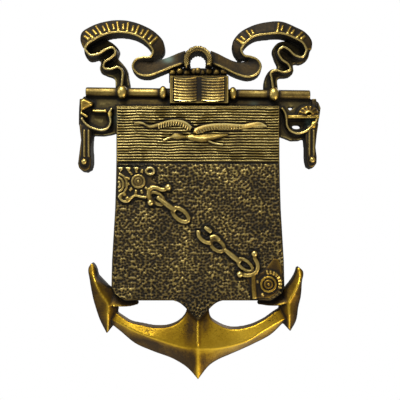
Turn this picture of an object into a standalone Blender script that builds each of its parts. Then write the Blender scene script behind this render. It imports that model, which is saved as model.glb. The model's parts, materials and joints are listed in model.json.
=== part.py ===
"""A cast brass wall plaque: an anchor behind a shield, with an open book, ribbons, hilts and a rope eye.

Metres, +Z up. The flat back lies in the plane y = 0 and the relief rises towards -Y. The origin is the
middle of the rope eye that the plaque hangs by. A plan point is (x, z), and its height is its distance
from the back.
"""

import math

import bmesh
import bpy
import numpy as np

# Shield, in the middle
SHIELD_WIDTH = 0.0952
SHIELD_TOP = -0.026
SHIELD_HEIGHT = 0.1136
SHIELD_FACE = 0.0125
SHIELD_EDGE = 0.0006
UPPER_FIELD = 0.034
FIELD_GROOVE = 0.0011
GROOVE_DEPTH = 0.0007
FIELD_RIBS = 20
RIB_RISE = 0.0008

# Anchor: its arms and flukes show below and beside the shield
ANCHOR_REACH = 0.064
ANCHOR_RISE = 0.070
CROWN_Z = -0.188
ARM_EDGE = 0.0098
ARM_CREST = 0.0120
ARM_ROOT = 0.0066
ARM_FALL = 0.0010
SPINE_RISE = 0.0008
CROWN_VALLEY = 0.0084
PALM_FOOT = 0.0050
FLUKE_CREST = 0.0116
FLUKE_EDGE = 0.0070
RIM_FOOT = 0.0026
ARM_LAP = 0.0006

# Stock, the bar across the top of the shield
STOCK_REACH = 0.0663
STOCK_Z = -0.018
STOCK_TILT = 0.0009
STOCK_RADIUS = 0.0029
STOCK_HEIGHT = 0.0084
STOCK_WEB = 0.0058
WEB_REACH = 0.0465
WEB_LAP = 0.0020
KNOT_WIDTH = 0.0066
KNOT_X = 0.0447
KNOT_LENGTH = 0.0084
COLLAR_X = 0.0206
COLLAR_WIDTH = 0.0050
COLLAR_LENGTH = 0.0080
COLLAR_SWELL = 1.2

# Ribbons, one to each side of the eye
RIBBON_REACH = 0.072
RIBBON_RISE = 0.042
RIBBON_EDGE = 0.0010
RIBBON_CREST = 0.0133
RIBBON_FOOT = 0.0105
RIBBON_FOLD = 0.0120
RIBBON_FALL = 0.0008
CURL_END = 0.0098
BAND_HEIGHT = 0.0090
BAND_END = 0.0100
STRIP_HEIGHT = 0.0085
RIBBON_LIP = 0.0005
TAIL_FOOT = 0.0050
STROKE_RISE = 0.0007
STROKE_WIDTH = 0.0014
STROKE_PITCH = 0.026

# Rope eye
EYE_RADIUS = 0.0068
EYE_ROPE = 0.0017
EYE_HEIGHT = 0.0135
EYE_WIDTH = 0.0084
EYE_SILL = -0.0030
EYE_HOLE_TOP = 0.0044
EYE_FLARE = 0.0015
ROPE_STRANDS = 11
EYE_MIDDLE = 0.0004
ROPE_SWELL = 0.16
SILL_REACH = 0.0170
SILL_FALL = 0.0015
SILL_LAP = 0.0020
SILL_HEIGHT = 0.0077
KNOBS = 8
KNOB_PITCH = 0.0043
KNOB_RADIUS = 0.0022
KNOB_STEP = 0.0008

# Open book, in front of the stock
BOOK_WIDTH = 0.0342
BOOK_X = 0.0007
BOOK_TOP = -0.0084
BOOK_BOTTOM = -0.0245
BOOK_COVER = 0.0115
PAGE_WIDTH = 0.0131
PAGE_CREST = 0.0136
PAGE_MARGIN = 0.0006
PAGE_SAG = 0.0008
SPINE_HALF = 0.0014
COVER_ROUND = 0.0004
PAGE_LINES = 8
LINE_RISE = 0.0004

# Hilts, at the ends of the stock
HILT_REACH = 0.072
HILT_RISE = 0.042
WEB_HEIGHT = 0.0055
GRIP_HEIGHT = 0.0095
GRIP_ROUND = 0.0008
GRIP_LINE_WIDTH = 0.0010
HILT_RIM = 0.0105
HILT_RIM_WIDTH = 0.0013
GUARD_WIDTH = 0.0030
GUARD_FOOT = 0.0080
GUARD_HEIGHT = 0.0090
GUARD_BAR_WIDTH = 0.0015
LEDGE_WIDTH = 0.0022
POMMEL_RADIUS = 0.0020
PAD_RADIUS = 0.0014
BOSS_ROUND = 0.0012
FAN_FLUTES = 6
FAN_RADIUS = 0.0064
FAN_HUB = 0.0016
FAN_FALL = 0.0030
FAN_CREST = 0.0112
FAN_FLUTING = 0.0010

# Figures on the shield
FIGURE_DROP = 0.074
FIGURE_Z = SHIELD_TOP - FIGURE_DROP
LINK_WIRE = 0.0012
LINK_HEIGHT = 0.0146
LINK_SWELL = 0.0004
LINK_TILT = -38
BRACKET_WIDTH = 0.0027
STEM_WIDTH = 0.0034
PLATE_HEIGHT = 0.0135
PLATE_ROUND = 0.0004
CORNER_HEIGHT = 0.0140
CORNER_WIRE = 0.0011
SCALLOPS = 8
BALL_RADIUS = 0.0020
GULL_Z = -0.044
GULL_REACH = 0.038
GULL_CREST = 0.0152
GULL_TIP = 0.0138
GULL_FOOT = 0.0005
BEAK_WIDTH = 0.0011

# Casting
DRAFT = math.radians(4.0)
BURY = 0.0010
AROUND = 0.25
THROUGH = 0.02
BALL_SIDES = 8
FINENESS = 0.55

# Frames for the shares below: x and z of the origin, then what one share is worth along x and z
ANCHOR_LEFT = (0.0, CROWN_Z, -ANCHOR_REACH, ANCHOR_RISE)
ANCHOR_RIGHT = (0.0, CROWN_Z, ANCHOR_REACH, ANCHOR_RISE)
RIBBON_LEFT = (0.0, STOCK_Z, -RIBBON_REACH, RIBBON_RISE)
RIBBON_RIGHT = (0.0, STOCK_Z, RIBBON_REACH, RIBBON_RISE)
HILT_LEFT = (0.0, STOCK_Z, -HILT_REACH, HILT_RISE)
HILT_RIGHT = (0.0, STOCK_Z, HILT_REACH, HILT_RISE)
GULL = (0.0, GULL_Z, GULL_REACH, GULL_REACH)
FIGURES = (0.0, FIGURE_Z, 1.0, 1.0)


def smooth(points, count):
    """Reads count points, evenly spaced, off a smooth curve through the given ones."""
    knots = np.array(points, float)
    steps = np.linalg.norm(np.diff(knots, axis=0), axis=1)
    length = np.concatenate([[0.0], np.cumsum(steps)])
    slopes = np.gradient(knots, length, axis=0)
    out = []
    for at in np.linspace(0.0, length[-1], count):
        i = min(int(np.searchsorted(length, at, side="right")) - 1, len(knots) - 2)
        t = (at - length[i]) / steps[i]
        start = knots[i] * (2 * t**3 - 3 * t**2 + 1) + slopes[i] * steps[i] * (t**3 - 2 * t**2 + t)
        end = knots[i + 1] * (3 * t**2 - 2 * t**3) + slopes[i + 1] * steps[i] * (t**3 - t**2)
        out.append(start + end)
    return np.array(out)


def trace(shares, frame, heights, count):
    """A smooth line (x, z, height) through plan points given as shares of a frame."""
    x0, z0, dx, dz = frame
    points = [(x0 + dx * x, z0 + dz * z) for x, z in shares]
    line = smooth(points, max(3, round(count * FINENESS)))
    keys = np.linspace(0.0, 1.0, len(heights)) if len(heights) > 1 else [0.0]
    rise = np.interp(np.linspace(0.0, 1.0, len(line)), keys, heights)
    return np.column_stack([line, rise])


def corners(shares, frame):
    """Plan points (x, z) with straight runs between them."""
    x0, z0, dx, dz = frame
    return np.array([(x0 + dx * x, z0 + dz * z) for x, z in shares])


def loft(name, sections, closed=False):
    """A closed solid through sections of equal point count, each a loop of (x, z, height)."""
    work = bmesh.new()
    rings = [[work.verts.new((x, -h, z)) for x, z, h in loop] for loop in sections]
    pairs = list(zip(rings, rings[1:]))
    if closed:
        pairs.append((rings[-1], rings[0]))
    for one, two in pairs:
        for i in range(len(one)):
            j = (i + 1) % len(one)
            work.faces.new((one[i], one[j], two[j], two[i]))
    if not closed:
        work.faces.new(rings[0])
        work.faces.new(rings[-1])
    return finished(name, work)


def finished(name, work):
    """Turns the faces outwards and makes the object, which is joined to the casting later."""
    bmesh.ops.remove_doubles(work, verts=work.verts, dist=1e-6)
    bmesh.ops.triangulate(work, faces=[face for face in work.faces if len(face.verts) > 4])
    bmesh.ops.recalc_face_normals(work, faces=work.faces)
    mesh = bpy.data.meshes.new(name)
    work.to_mesh(mesh)
    work.free()
    mesh.shade_smooth()
    mesh.set_sharp_from_angle(angle=math.radians(35))
    piece = bpy.data.objects.new(name, mesh)
    piece.hide_render = True
    piece.display_type = "WIRE"
    return piece


def grown(outline, by):
    """A plan outline moved outwards by a distance, inwards where it is negative."""
    points = np.array(outline, float)[:, :2]
    ahead = np.roll(points, -1, axis=0) - points
    ahead /= np.linalg.norm(ahead, axis=1)[:, None]
    behind = np.roll(ahead, 1, axis=0)
    side = np.column_stack([ahead[:, 1] + behind[:, 1], -ahead[:, 0] - behind[:, 0]])
    side /= np.linalg.norm(side, axis=1)[:, None]
    area = np.sum(points[:, 0] * np.roll(points[:, 1], -1) - np.roll(points[:, 0], -1) * points[:, 1])
    return points + side * by * (1.0 if area > 0 else -1.0)


def slab(name, outline, height, base=-BURY, edge=0.0):
    """A plate with drafted sides over a plan outline, whose top edge is cut back by edge."""
    levels = [(base, (height - base) * math.tan(DRAFT)), (height - edge, 0.0)]
    if edge:
        levels.append((height, -edge))
    loops = []
    for level, by in levels:
        plan = grown(outline, by)
        loops.append(np.column_stack([plan, np.full(len(plan), level)]))
    return loft(name, loops)


def bank(name, low, high, base=-BURY):
    """A solid whose top slopes from one line to another."""
    sections = []
    for one, two in zip(low, high):
        sections.append([(one[0], one[1], base), tuple(one), tuple(two), (two[0], two[1], base)])
    return loft(name, sections)


def ridged(name, low, crest, high, base=-BURY):
    """A solid whose top rises from one line to a crest and falls to another line."""
    sections = []
    for one, top, two in zip(low, crest, high):
        foot = [(one[0], one[1], base), (two[0], two[1], base)]
        sections.append([foot[0], tuple(one), tuple(top), tuple(two), foot[1]])
    return loft(name, sections)


def rim(name, line, width, base=-BURY, closed=False, steps=3):
    """A raised moulding with a round crest along a line (x, z, height)."""
    line = np.array(line, float)
    if closed:
        ahead = np.roll(line, -1, axis=0)[:, :2] - np.roll(line, 1, axis=0)[:, :2]
    else:
        ahead = np.gradient(line[:, :2], axis=0)
    ahead /= np.linalg.norm(ahead, axis=1)[:, None]
    side = np.column_stack([-ahead[:, 1], ahead[:, 0]])
    half = np.broadcast_to(np.asarray(width, float), len(line)) / 2
    sections = []
    for (x, z, h), (sx, sz), r in zip(line, side, half):
        foot = r + max(0.0, h - r - base) * math.tan(DRAFT) * 0.5
        loop = [(x + sx * foot, z + sz * foot, base)]
        for step in range(steps + 1):
            turn = math.pi * step / steps
            reach = r * math.cos(turn)
            loop.append((x + sx * reach, z + sz * reach, h - r + r * math.sin(turn)))
        loop.append((x - sx * foot, z - sz * foot, base))
        sections.append(loop)
    return loft(name, sections, closed)


def ball(name, x, z, height, radius, flat=1.0, tall=1.0):
    """A ball whose middle is at a height, pressed flat towards the back or drawn out along Z if asked."""
    work = bmesh.new()
    bmesh.ops.create_uvsphere(work, u_segments=BALL_SIDES, v_segments=BALL_SIDES // 2 + 1, radius=radius)
    bmesh.ops.scale(work, vec=(1.0, flat, tall), verts=work.verts)
    bmesh.ops.translate(work, vec=(x, -height, z), verts=work.verts)
    return finished(name, work)


def arc(x, z, radius_x, radius_z, start, end, height, count, tilt=0.0):
    """Points of an elliptic arc in the plan, angles in degrees."""
    turn = np.radians(np.linspace(start, end, count))
    lean = math.radians(tilt)
    across = radius_x * np.cos(turn)
    up = radius_z * np.sin(turn)
    px = x + across * math.cos(lean) - up * math.sin(lean)
    pz = z + across * math.sin(lean) + up * math.cos(lean)
    return np.column_stack([px, pz, np.full(count, height)])


def shield_half():
    """Right half of the shield's outline, from the top corner down to the tip."""
    side = [(1.0, 0.0), (1.0, 0.30), (1.02, 0.58), (1.05, 0.77), (1.06, 0.93)]
    corner = [(1.06, 0.93), (1.03, 0.96), (0.97, 0.98), (0.90, 1.0), (0.80, 1.0)]
    ogee = [(0.30, 1.0), (0.23, 1.01), (0.17, 1.03), (0.09, 1.065), (0.0, 1.104)]
    runs = [smooth(side, 8), smooth(corner, 7)[1:], [(0.55, 1.0)], smooth(ogee, 8)]
    return np.vstack(runs) * (SHIELD_WIDTH / 2, -SHIELD_HEIGHT) + (0.0, SHIELD_TOP)


def shield_pieces():
    half = shield_half()
    outline = np.vstack([half, (half * (-1.0, 1.0))[-2::-1]])
    yield slab("shield", outline, SHIELD_FACE, edge=SHIELD_EDGE)
    foot = SHIELD_TOP - UPPER_FIELD
    inset = 2 * SHIELD_EDGE
    pitch = (UPPER_FIELD - FIELD_GROOVE - inset) / FIELD_RIBS
    profile = [(SHIELD_TOP - inset, SHIELD_FACE - BURY)]
    for rib in range(FIELD_RIBS):
        top = SHIELD_TOP - inset - rib * pitch
        profile.append((top, SHIELD_FACE))
        profile.append((top - 0.5 * pitch, SHIELD_FACE + RIB_RISE))
    profile.append((foot + FIELD_GROOVE, SHIELD_FACE))
    profile.append((foot + FIELD_GROOVE, SHIELD_FACE - BURY))
    across = SHIELD_WIDTH / 2 - inset
    yield loft("ribbed_field", [[(x, z, h) for z, h in profile] for x in (-across, across)])


def groove_cutter():
    """The groove between the ribbed field and the lower field."""
    low = SHIELD_TOP - UPPER_FIELD
    high = low + FIELD_GROOVE
    outline = [(-SHIELD_WIDTH, low), (SHIELD_WIDTH, low), (SHIELD_WIDTH, high), (-SHIELD_WIDTH, high)]
    return prism("cut_groove", outline, SHIELD_FACE - GROOVE_DEPTH, SHIELD_FACE + 2 * RIB_RISE)


ARM_UPPER_LEFT = [(0.81, 0.61), (0.71, 0.55), (0.62, 0.50), (0.52, 0.48), (0.39, 0.46), (0.26, 0.47),
                  (0.17, 0.51), (0.12, 0.56), (0.09, 0.63), (0.0, 0.66)]
ARM_CREST_LEFT = [(0.83, 0.54), (0.71, 0.49), (0.57, 0.43), (0.41, 0.38), (0.25, 0.33), (0.12, 0.30),
                  (0.0, 0.29)]
ARM_LOWER_LEFT = [(0.79, 0.46), (0.71, 0.40), (0.59, 0.31), (0.42, 0.24), (0.22, 0.17), (0.10, 0.10),
                  (0.0, 0.0)]
ARM_UPPER_RIGHT = [(0.80, 0.63), (0.72, 0.59), (0.61, 0.52), (0.49, 0.47), (0.39, 0.45), (0.29, 0.45),
                   (0.18, 0.49), (0.12, 0.53), (0.09, 0.62), (0.0, 0.66)]
ARM_CREST_RIGHT = [(0.83, 0.54), (0.72, 0.49), (0.60, 0.43), (0.47, 0.36), (0.34, 0.32), (0.16, 0.29),
                   (0.0, 0.29)]
ARM_LOWER_RIGHT = [(0.79, 0.48), (0.69, 0.39), (0.51, 0.30), (0.29, 0.21), (0.19, 0.17), (0.12, 0.13),
                   (0.0, 0.0)]
FLUKE_OUTER_LEFT = [(0.98, 1.0), (1.01, 0.96), (1.0, 0.86), (0.98, 0.75), (0.95, 0.63), (0.91, 0.51),
                    (0.85, 0.39)]
FLUKE_CREST_LEFT = [(0.973, 0.985), (0.963, 0.925), (0.931, 0.832), (0.894, 0.757), (0.821, 0.656),
                    (0.823, 0.539), (0.833, 0.42)]
FLUKE_INNER_LEFT = [(0.965, 0.99), (0.94, 0.95), (0.92, 0.88), (0.86, 0.82), (0.81, 0.79), (0.74, 0.62),
                    (0.79, 0.46)]
FLUKE_OUTER_RIGHT = [(0.93, 0.965), (0.97, 0.93), (0.96, 0.84), (0.95, 0.72), (0.93, 0.63), (0.91, 0.50),
                     (0.86, 0.41)]
FLUKE_CREST_RIGHT = [(0.927, 0.955), (0.94, 0.894), (0.915, 0.812), (0.881, 0.749), (0.835, 0.677),
                     (0.835, 0.564), (0.844, 0.438)]
FLUKE_INNER_RIGHT = [(0.915, 0.955), (0.90, 0.91), (0.87, 0.86), (0.82, 0.80), (0.79, 0.77), (0.75, 0.64),
                     (0.79, 0.48)]
WING_EDGE_LEFT = [(0.905, 0.775), (0.821, 0.656), (0.77, 0.642), (0.697, 0.633), (0.62, 0.635),
                  (0.55, 0.65)]
PALM_TOP_LEFT = [(0.93, 0.90), (0.87, 0.84), (0.81, 0.79), (0.74, 0.78), (0.66, 0.76), (0.58, 0.72)]
WING_EDGE_RIGHT = [(0.89, 0.765), (0.835, 0.677), (0.80, 0.663), (0.756, 0.648), (0.66, 0.64),
                   (0.55, 0.65)]
PALM_TOP_RIGHT = [(0.905, 0.885), (0.86, 0.83), (0.80, 0.78), (0.74, 0.78), (0.66, 0.76), (0.58, 0.72)]


def anchor_pieces():
    sides = (
        ("left", ANCHOR_LEFT, ARM_UPPER_LEFT, ARM_CREST_LEFT, ARM_LOWER_LEFT,
         FLUKE_OUTER_LEFT, FLUKE_CREST_LEFT, FLUKE_INNER_LEFT, PALM_TOP_LEFT, WING_EDGE_LEFT),
        ("right", ANCHOR_RIGHT, ARM_UPPER_RIGHT, ARM_CREST_RIGHT, ARM_LOWER_RIGHT,
         FLUKE_OUTER_RIGHT, FLUKE_CREST_RIGHT, FLUKE_INNER_RIGHT, PALM_TOP_RIGHT, WING_EDGE_RIGHT),
    )
    for side, frame, upper, crest, lower, outer, ridge, inner, palm, wing in sides:
        crest_heights = (ARM_ROOT, 0.5 * (ARM_ROOT + ARM_CREST), ARM_CREST, ARM_CREST, ARM_CREST)
        edge_heights = (ARM_ROOT - ARM_FALL, 0.5 * (ARM_ROOT + ARM_EDGE), ARM_EDGE, ARM_EDGE, CROWN_VALLEY)
        arm = [
            trace(lower, frame, (RIM_FOOT, RIM_FOOT), 16),
            trace(crest, frame, crest_heights, 16),
            trace(upper, frame, edge_heights, 16),
        ]
        past = (-math.copysign(ARM_LAP, frame[2]), ARM_LAP, 0.0)
        yield ridged(f"arm_{side}", *(np.vstack([line, line[-1] + past]) for line in arm))
        fluke = [
            trace(outer, frame, (FLUKE_EDGE, FLUKE_EDGE, RIM_FOOT), 12),
            trace(ridge, frame, (FLUKE_EDGE, FLUKE_CREST, FLUKE_CREST, FLUKE_CREST, FLUKE_EDGE), 12),
            trace(inner, frame, (FLUKE_EDGE, FLUKE_EDGE, RIM_FOOT), 12),
        ]
        yield ridged(f"fluke_{side}", *fluke)
        yield bank(f"palm_{side}", trace(palm, frame, (PALM_FOOT + ARM_FALL, PALM_FOOT), 8),
                   trace(wing, frame, (FLUKE_CREST, FLUKE_CREST - ARM_FALL, FLUKE_EDGE), 8))
    joint = SHIELD_TOP - SHIELD_HEIGHT
    low = corners([(-0.10, 0.62), (-0.06, 0.30), (0.06, 0.30), (0.10, 0.62)], ANCHOR_RIGHT)
    shank = np.vstack([low, [(low[3][0], joint), (low[0][0], joint)]])
    yield slab("shank", shank, CROWN_VALLEY - BURY)
    surface = (CROWN_VALLEY, 0.5 * (CROWN_VALLEY + ARM_CREST), ARM_CREST, 0.5 * (ARM_CREST + RIM_FOOT), RIM_FOOT)
    falls = (0.64, 0.465, 0.29, 0.145, 0.02)
    flanks = []
    for side in (-1, 1):
        flank = [(side * half, z) for half, z in zip((0.026, 0.022, 0.020, 0.014, 0.003), falls)]
        flanks.append(trace(flank, ANCHOR_RIGHT, [height - ARM_FALL for height in surface], 10))
    rises = [height + SPINE_RISE for height in surface]
    rises[0] = ARM_EDGE + SPINE_RISE
    spine = trace([(0.0, z) for z in falls], ANCHOR_RIGHT, rises, 10)
    yield ridged("crown_ridge", flanks[0], spine, flanks[1])


EDGE_LEFT = [(0.11, 0.42), (0.22, 0.35), (0.32, 0.28), (0.41, 0.23), (0.49, 0.26), (0.53, 0.36),
             (0.505, 0.45), (0.445, 0.485)]
ARC_LEFT = [(0.445, 0.485), (0.385, 0.49), (0.363, 0.565), (0.39, 0.645), (0.48, 0.77), (0.60, 0.825),
            (0.73, 0.81), (0.84, 0.73), (0.90, 0.66), (0.918, 0.60)]
CURL_LEFT = [(0.918, 0.60), (0.875, 0.52), (0.81, 0.53), (0.74, 0.60), (0.69, 0.62), (0.667, 0.565),
             (0.705, 0.48), (0.76, 0.415), (0.765, 0.34), (0.71, 0.325), (0.65, 0.355), (0.615, 0.30),
             (0.615, 0.20), (0.625, 0.06)]
BAND_LEFT = [(0.324, 0.458), (0.272, 0.577), (0.28, 0.71), (0.346, 0.843), (0.456, 0.95), (0.60, 1.015),
             (0.75, 0.997), (0.88, 0.92), (0.95, 0.83), (0.958, 0.725), (0.938, 0.63)]
STRIP_LEFT = [(0.10, 0.59), (0.18, 0.54), (0.25, 0.49), (0.33, 0.46), (0.37, 0.46), (0.42, 0.46),
              (0.445, 0.47)]
TAIL_LEFT = [(0.94, 0.64), (0.93, 0.55), (0.89, 0.47), (0.81, 0.48), (0.80, 0.43), (0.81, 0.36),
             (0.80, 0.31), (0.76, 0.27), (0.69, 0.22), (0.67, 0.05), (0.57, 0.05), (0.575, 0.24),
             (0.585, 0.33), (0.63, 0.44), (0.66, 0.50), (0.65, 0.60), (0.70, 0.71), (0.76, 0.76),
             (0.85, 0.72)]

EDGE_RIGHT = [(0.11, 0.42), (0.22, 0.335), (0.33, 0.245), (0.42, 0.215), (0.485, 0.265), (0.51, 0.365),
              (0.48, 0.455), (0.42, 0.495)]
ARC_RIGHT = [(0.42, 0.495), (0.375, 0.51), (0.351, 0.58), (0.376, 0.665), (0.45, 0.765), (0.565, 0.803),
             (0.68, 0.81), (0.776, 0.756), (0.855, 0.675), (0.883, 0.586)]
CURL_RIGHT = [(0.883, 0.586), (0.852, 0.49), (0.79, 0.51), (0.73, 0.60), (0.687, 0.63), (0.653, 0.57),
              (0.68, 0.46), (0.736, 0.385), (0.752, 0.317), (0.70, 0.28), (0.634, 0.31), (0.596, 0.289),
              (0.602, 0.187), (0.616, 0.04)]
BAND_RIGHT = [(0.331, 0.458), (0.288, 0.57), (0.281, 0.695), (0.327, 0.82), (0.433, 0.932), (0.555, 0.988),
              (0.677, 0.997), (0.79, 0.924), (0.88, 0.836), (0.931, 0.704), (0.925, 0.596)]
STRIP_RIGHT = [(0.10, 0.59), (0.17, 0.54), (0.24, 0.48), (0.30, 0.44), (0.34, 0.43), (0.38, 0.44),
               (0.42, 0.47)]
TAIL_RIGHT = [(0.92, 0.60), (0.91, 0.52), (0.85, 0.43), (0.785, 0.42), (0.785, 0.31), (0.75, 0.25),
              (0.66, 0.22), (0.65, 0.02), (0.56, 0.02), (0.565, 0.26), (0.60, 0.34), (0.655, 0.36),
              (0.63, 0.50), (0.615, 0.60), (0.66, 0.72), (0.70, 0.74), (0.80, 0.70)]


def strokes(side, band, arc_line, spots):
    """Rows of raised strokes in the place of an inscription: they aren't letters."""
    for number, spot in enumerate(spots):
        for k, reach in enumerate(((0.16, 0.87), (0.34, 0.74))):
            at = spot + STROKE_PITCH * k
            low, high = band_point(band, at), band_point(arc_line, at)
            ends = [low + (high - low) * share + (0.0, 0.0, STROKE_RISE) for share in reach]
            name = f"stroke_{side}_{number}_{k}"
            yield rim(name, ends, STROKE_WIDTH, base=BAND_HEIGHT - 2 * BURY, steps=2)


def band_point(line, share):
    """The point of a line at a share of its points."""
    at = share * (len(line) - 1)
    return np.array([np.interp(at, np.arange(len(line)), line[:, axis]) for axis in range(3)])


def ribbon_pieces():
    sides = (
        ("left", RIBBON_LEFT, EDGE_LEFT, ARC_LEFT, CURL_LEFT, BAND_LEFT, STRIP_LEFT, TAIL_LEFT,
         (0.22, 0.31, 0.40, 0.49, 0.58, 0.67, 0.76, 0.85)),
        ("right", RIBBON_RIGHT, EDGE_RIGHT, ARC_RIGHT, CURL_RIGHT, BAND_RIGHT, STRIP_RIGHT, TAIL_RIGHT,
         (0.20, 0.31, 0.60, 0.71, 0.82)),
    )
    for side, frame, edge, arch, curl, band, strip, tail, spots in sides:
        fold = trace(edge, frame, (RIBBON_FOOT, RIBBON_FOLD), 16)
        arch_line = trace(arch, frame, (RIBBON_FOLD, RIBBON_CREST, RIBBON_CREST, RIBBON_FOLD), 26)
        curl_line = trace(curl, frame, (RIBBON_FOLD, RIBBON_FOLD, RIBBON_FOLD - RIBBON_FALL, CURL_END), 34)
        yield rim(f"edge_{side}", np.vstack([fold, arch_line[1:], curl_line[1:]]), 2 * RIBBON_EDGE)
        band_line = trace(band, frame, (BAND_HEIGHT, BAND_HEIGHT, BAND_END), 26)
        lip = (0.0, 0.0, RIBBON_LIP)
        yield bank(f"arch_{side}", band_line, arch_line - lip)
        yield bank(f"strip_{side}", trace(strip, frame, (BAND_END, STRIP_HEIGHT), 16), fold - lip)
        yield slab(f"tail_{side}", corners(tail, frame), TAIL_FOOT)
        yield from strokes(side, band_line, arch_line, spots)


def eye_pieces():
    count = 3 * ROPE_STRANDS + 1
    rope = arc(0.0, EYE_MIDDLE, EYE_RADIUS, EYE_RADIUS, -25, 205, EYE_HEIGHT, count)
    swell = 1.0 + ROPE_SWELL * np.cos(np.arange(count) * math.tau / 3)
    yield rim("rope", rope, 2 * EYE_ROPE * swell)
    foot = BOOK_TOP - SILL_LAP
    fall = EYE_SILL - SILL_FALL
    sill = [(-EYE_RADIUS, EYE_SILL), (EYE_RADIUS, EYE_SILL), (SILL_REACH, fall), (SILL_REACH, foot),
            (-SILL_REACH, foot), (-SILL_REACH, fall)]
    yield slab("sill", sill, SILL_HEIGHT)
    for number in range(KNOBS):
        x = KNOB_PITCH * (number - (KNOBS - 1) / 2)
        z = BOOK_TOP + KNOB_RADIUS + KNOB_STEP * (number % 2)
        yield ball(f"knob_{number}", x, z, SILL_HEIGHT, KNOB_RADIUS)
    yield ball("boss", 0.0, EYE_SILL - KNOB_RADIUS, SILL_HEIGHT + KNOB_STEP, KNOB_RADIUS)


def stock_z(x):
    """The stock runs a little downhill to the right."""
    return STOCK_Z - STOCK_TILT * x / STOCK_REACH


def stock_pieces():
    xs = (-STOCK_REACH, 0.0, STOCK_REACH)
    bar = [(x, stock_z(x), STOCK_HEIGHT) for x in xs]
    yield rim("stock", bar, 2 * STOCK_RADIUS, steps=6)
    low = SHIELD_TOP - WEB_LAP
    web = [(-WEB_REACH, STOCK_Z), (-WEB_REACH, low), (WEB_REACH, low), (WEB_REACH, STOCK_Z)]
    yield slab("stock_web", web, STOCK_WEB)
    middle = STOCK_HEIGHT - BURY
    for side in (-1, 1):
        x = side * KNOT_X
        yield ball(f"knot_{side}", x, stock_z(x), middle, KNOT_WIDTH / 2, tall=KNOT_LENGTH / KNOT_WIDTH)
        x = side * COLLAR_X
        yield ball(f"collar_{side}", x, stock_z(x), middle, COLLAR_WIDTH / 2, flat=COLLAR_SWELL,
                   tall=COLLAR_LENGTH / COLLAR_WIDTH)


def page_height(share):
    """Height across a page, from the spine to its outer edge."""
    low = BOOK_COVER - BURY
    return low + (PAGE_CREST - low) * math.sin(math.pi * (0.12 + 0.68 * share)) ** 0.7


def book_pieces():
    left, right = BOOK_X - BOOK_WIDTH / 2, BOOK_X + BOOK_WIDTH / 2
    cover = [(left, BOOK_BOTTOM), (right, BOOK_BOTTOM), (right, BOOK_TOP), (left, BOOK_TOP)]
    yield slab("cover", cover, BOOK_COVER, edge=COVER_ROUND)
    top, bottom = BOOK_TOP - PAGE_MARGIN, BOOK_BOTTOM + 2 * PAGE_MARGIN
    within = BOOK_COVER - 2 * BURY
    for side in (-1, 1):
        sections = []
        for step in range(5):
            share = step / 4
            x = BOOK_X + side * (SPINE_HALF + PAGE_WIDTH * share)
            sag = PAGE_SAG * math.sin(math.pi * share)
            h = page_height(share)
            loop = [(x, top - sag, within)]
            for line in range(2 * PAGE_LINES + 1):
                z = top - sag + (bottom - top) * (line + 0.5) / (2 * PAGE_LINES + 1)
                loop.append((x, z, h - (LINE_RISE if line % 2 else 0.0)))
            loop.append((x, bottom - sag, within))
            sections.append(loop)
        yield loft(f"page_{side}", sections)


WEB_LEFT = [(0.94, -0.04), (0.97, -0.12), (0.97, -0.49), (0.91, -0.55), (0.86, -0.585), (0.78, -0.59),
            (0.71, -0.57), (0.64, -0.53), (0.64, 0.0)]
WEB_RIGHT = [(0.94, -0.08), (0.99, -0.12), (1.01, -0.20), (1.0, -0.32), (0.98, -0.50), (0.92, -0.60),
             (0.83, -0.655), (0.77, -0.66), (0.71, -0.62), (0.64, -0.58), (0.64, 0.0)]
GRIP_LEFT = [(0.97, -0.44), (0.955, -0.66), (0.97, -0.86), (0.98, -0.992), (0.971, -1.051),
             (0.947, -1.091), (0.914, -1.099), (0.884, -1.071), (0.873, -1.02), (0.87, -0.94),
             (0.875, -0.76), (0.87, -0.56), (0.88, -0.46)]
GRIP_RIGHT = [(0.985, -0.42), (0.97, -0.59), (0.96, -0.76), (0.97, -0.90), (0.968, -0.985),
              (0.948, -1.035), (0.922, -1.051), (0.90, -1.03), (0.891, -0.98), (0.885, -0.90),
              (0.885, -0.76), (0.875, -0.60), (0.89, -0.46)]
LOOP_LEFT = [(0.949, -0.351), (0.925, -0.415), (0.886, -0.472), (0.837, -0.507), (0.781, -0.524),
             (0.742, -0.503), (0.717, -0.451), (0.711, -0.384), (0.72, -0.322), (0.715, -0.259),
             (0.699, -0.217)]
LOOP_RIGHT = [(0.682, -0.21), (0.71, -0.287), (0.72, -0.37), (0.724, -0.454), (0.745, -0.52),
              (0.781, -0.557), (0.822, -0.57), (0.871, -0.545), (0.91, -0.5), (0.95, -0.437),
              (0.97, -0.37)]
BOSS_LEFT = [(0.962, -0.10), (0.93, -0.075), (0.856, -0.137), (0.86, -0.179), (0.909, -0.221),
             (0.955, -0.265)]


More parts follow.
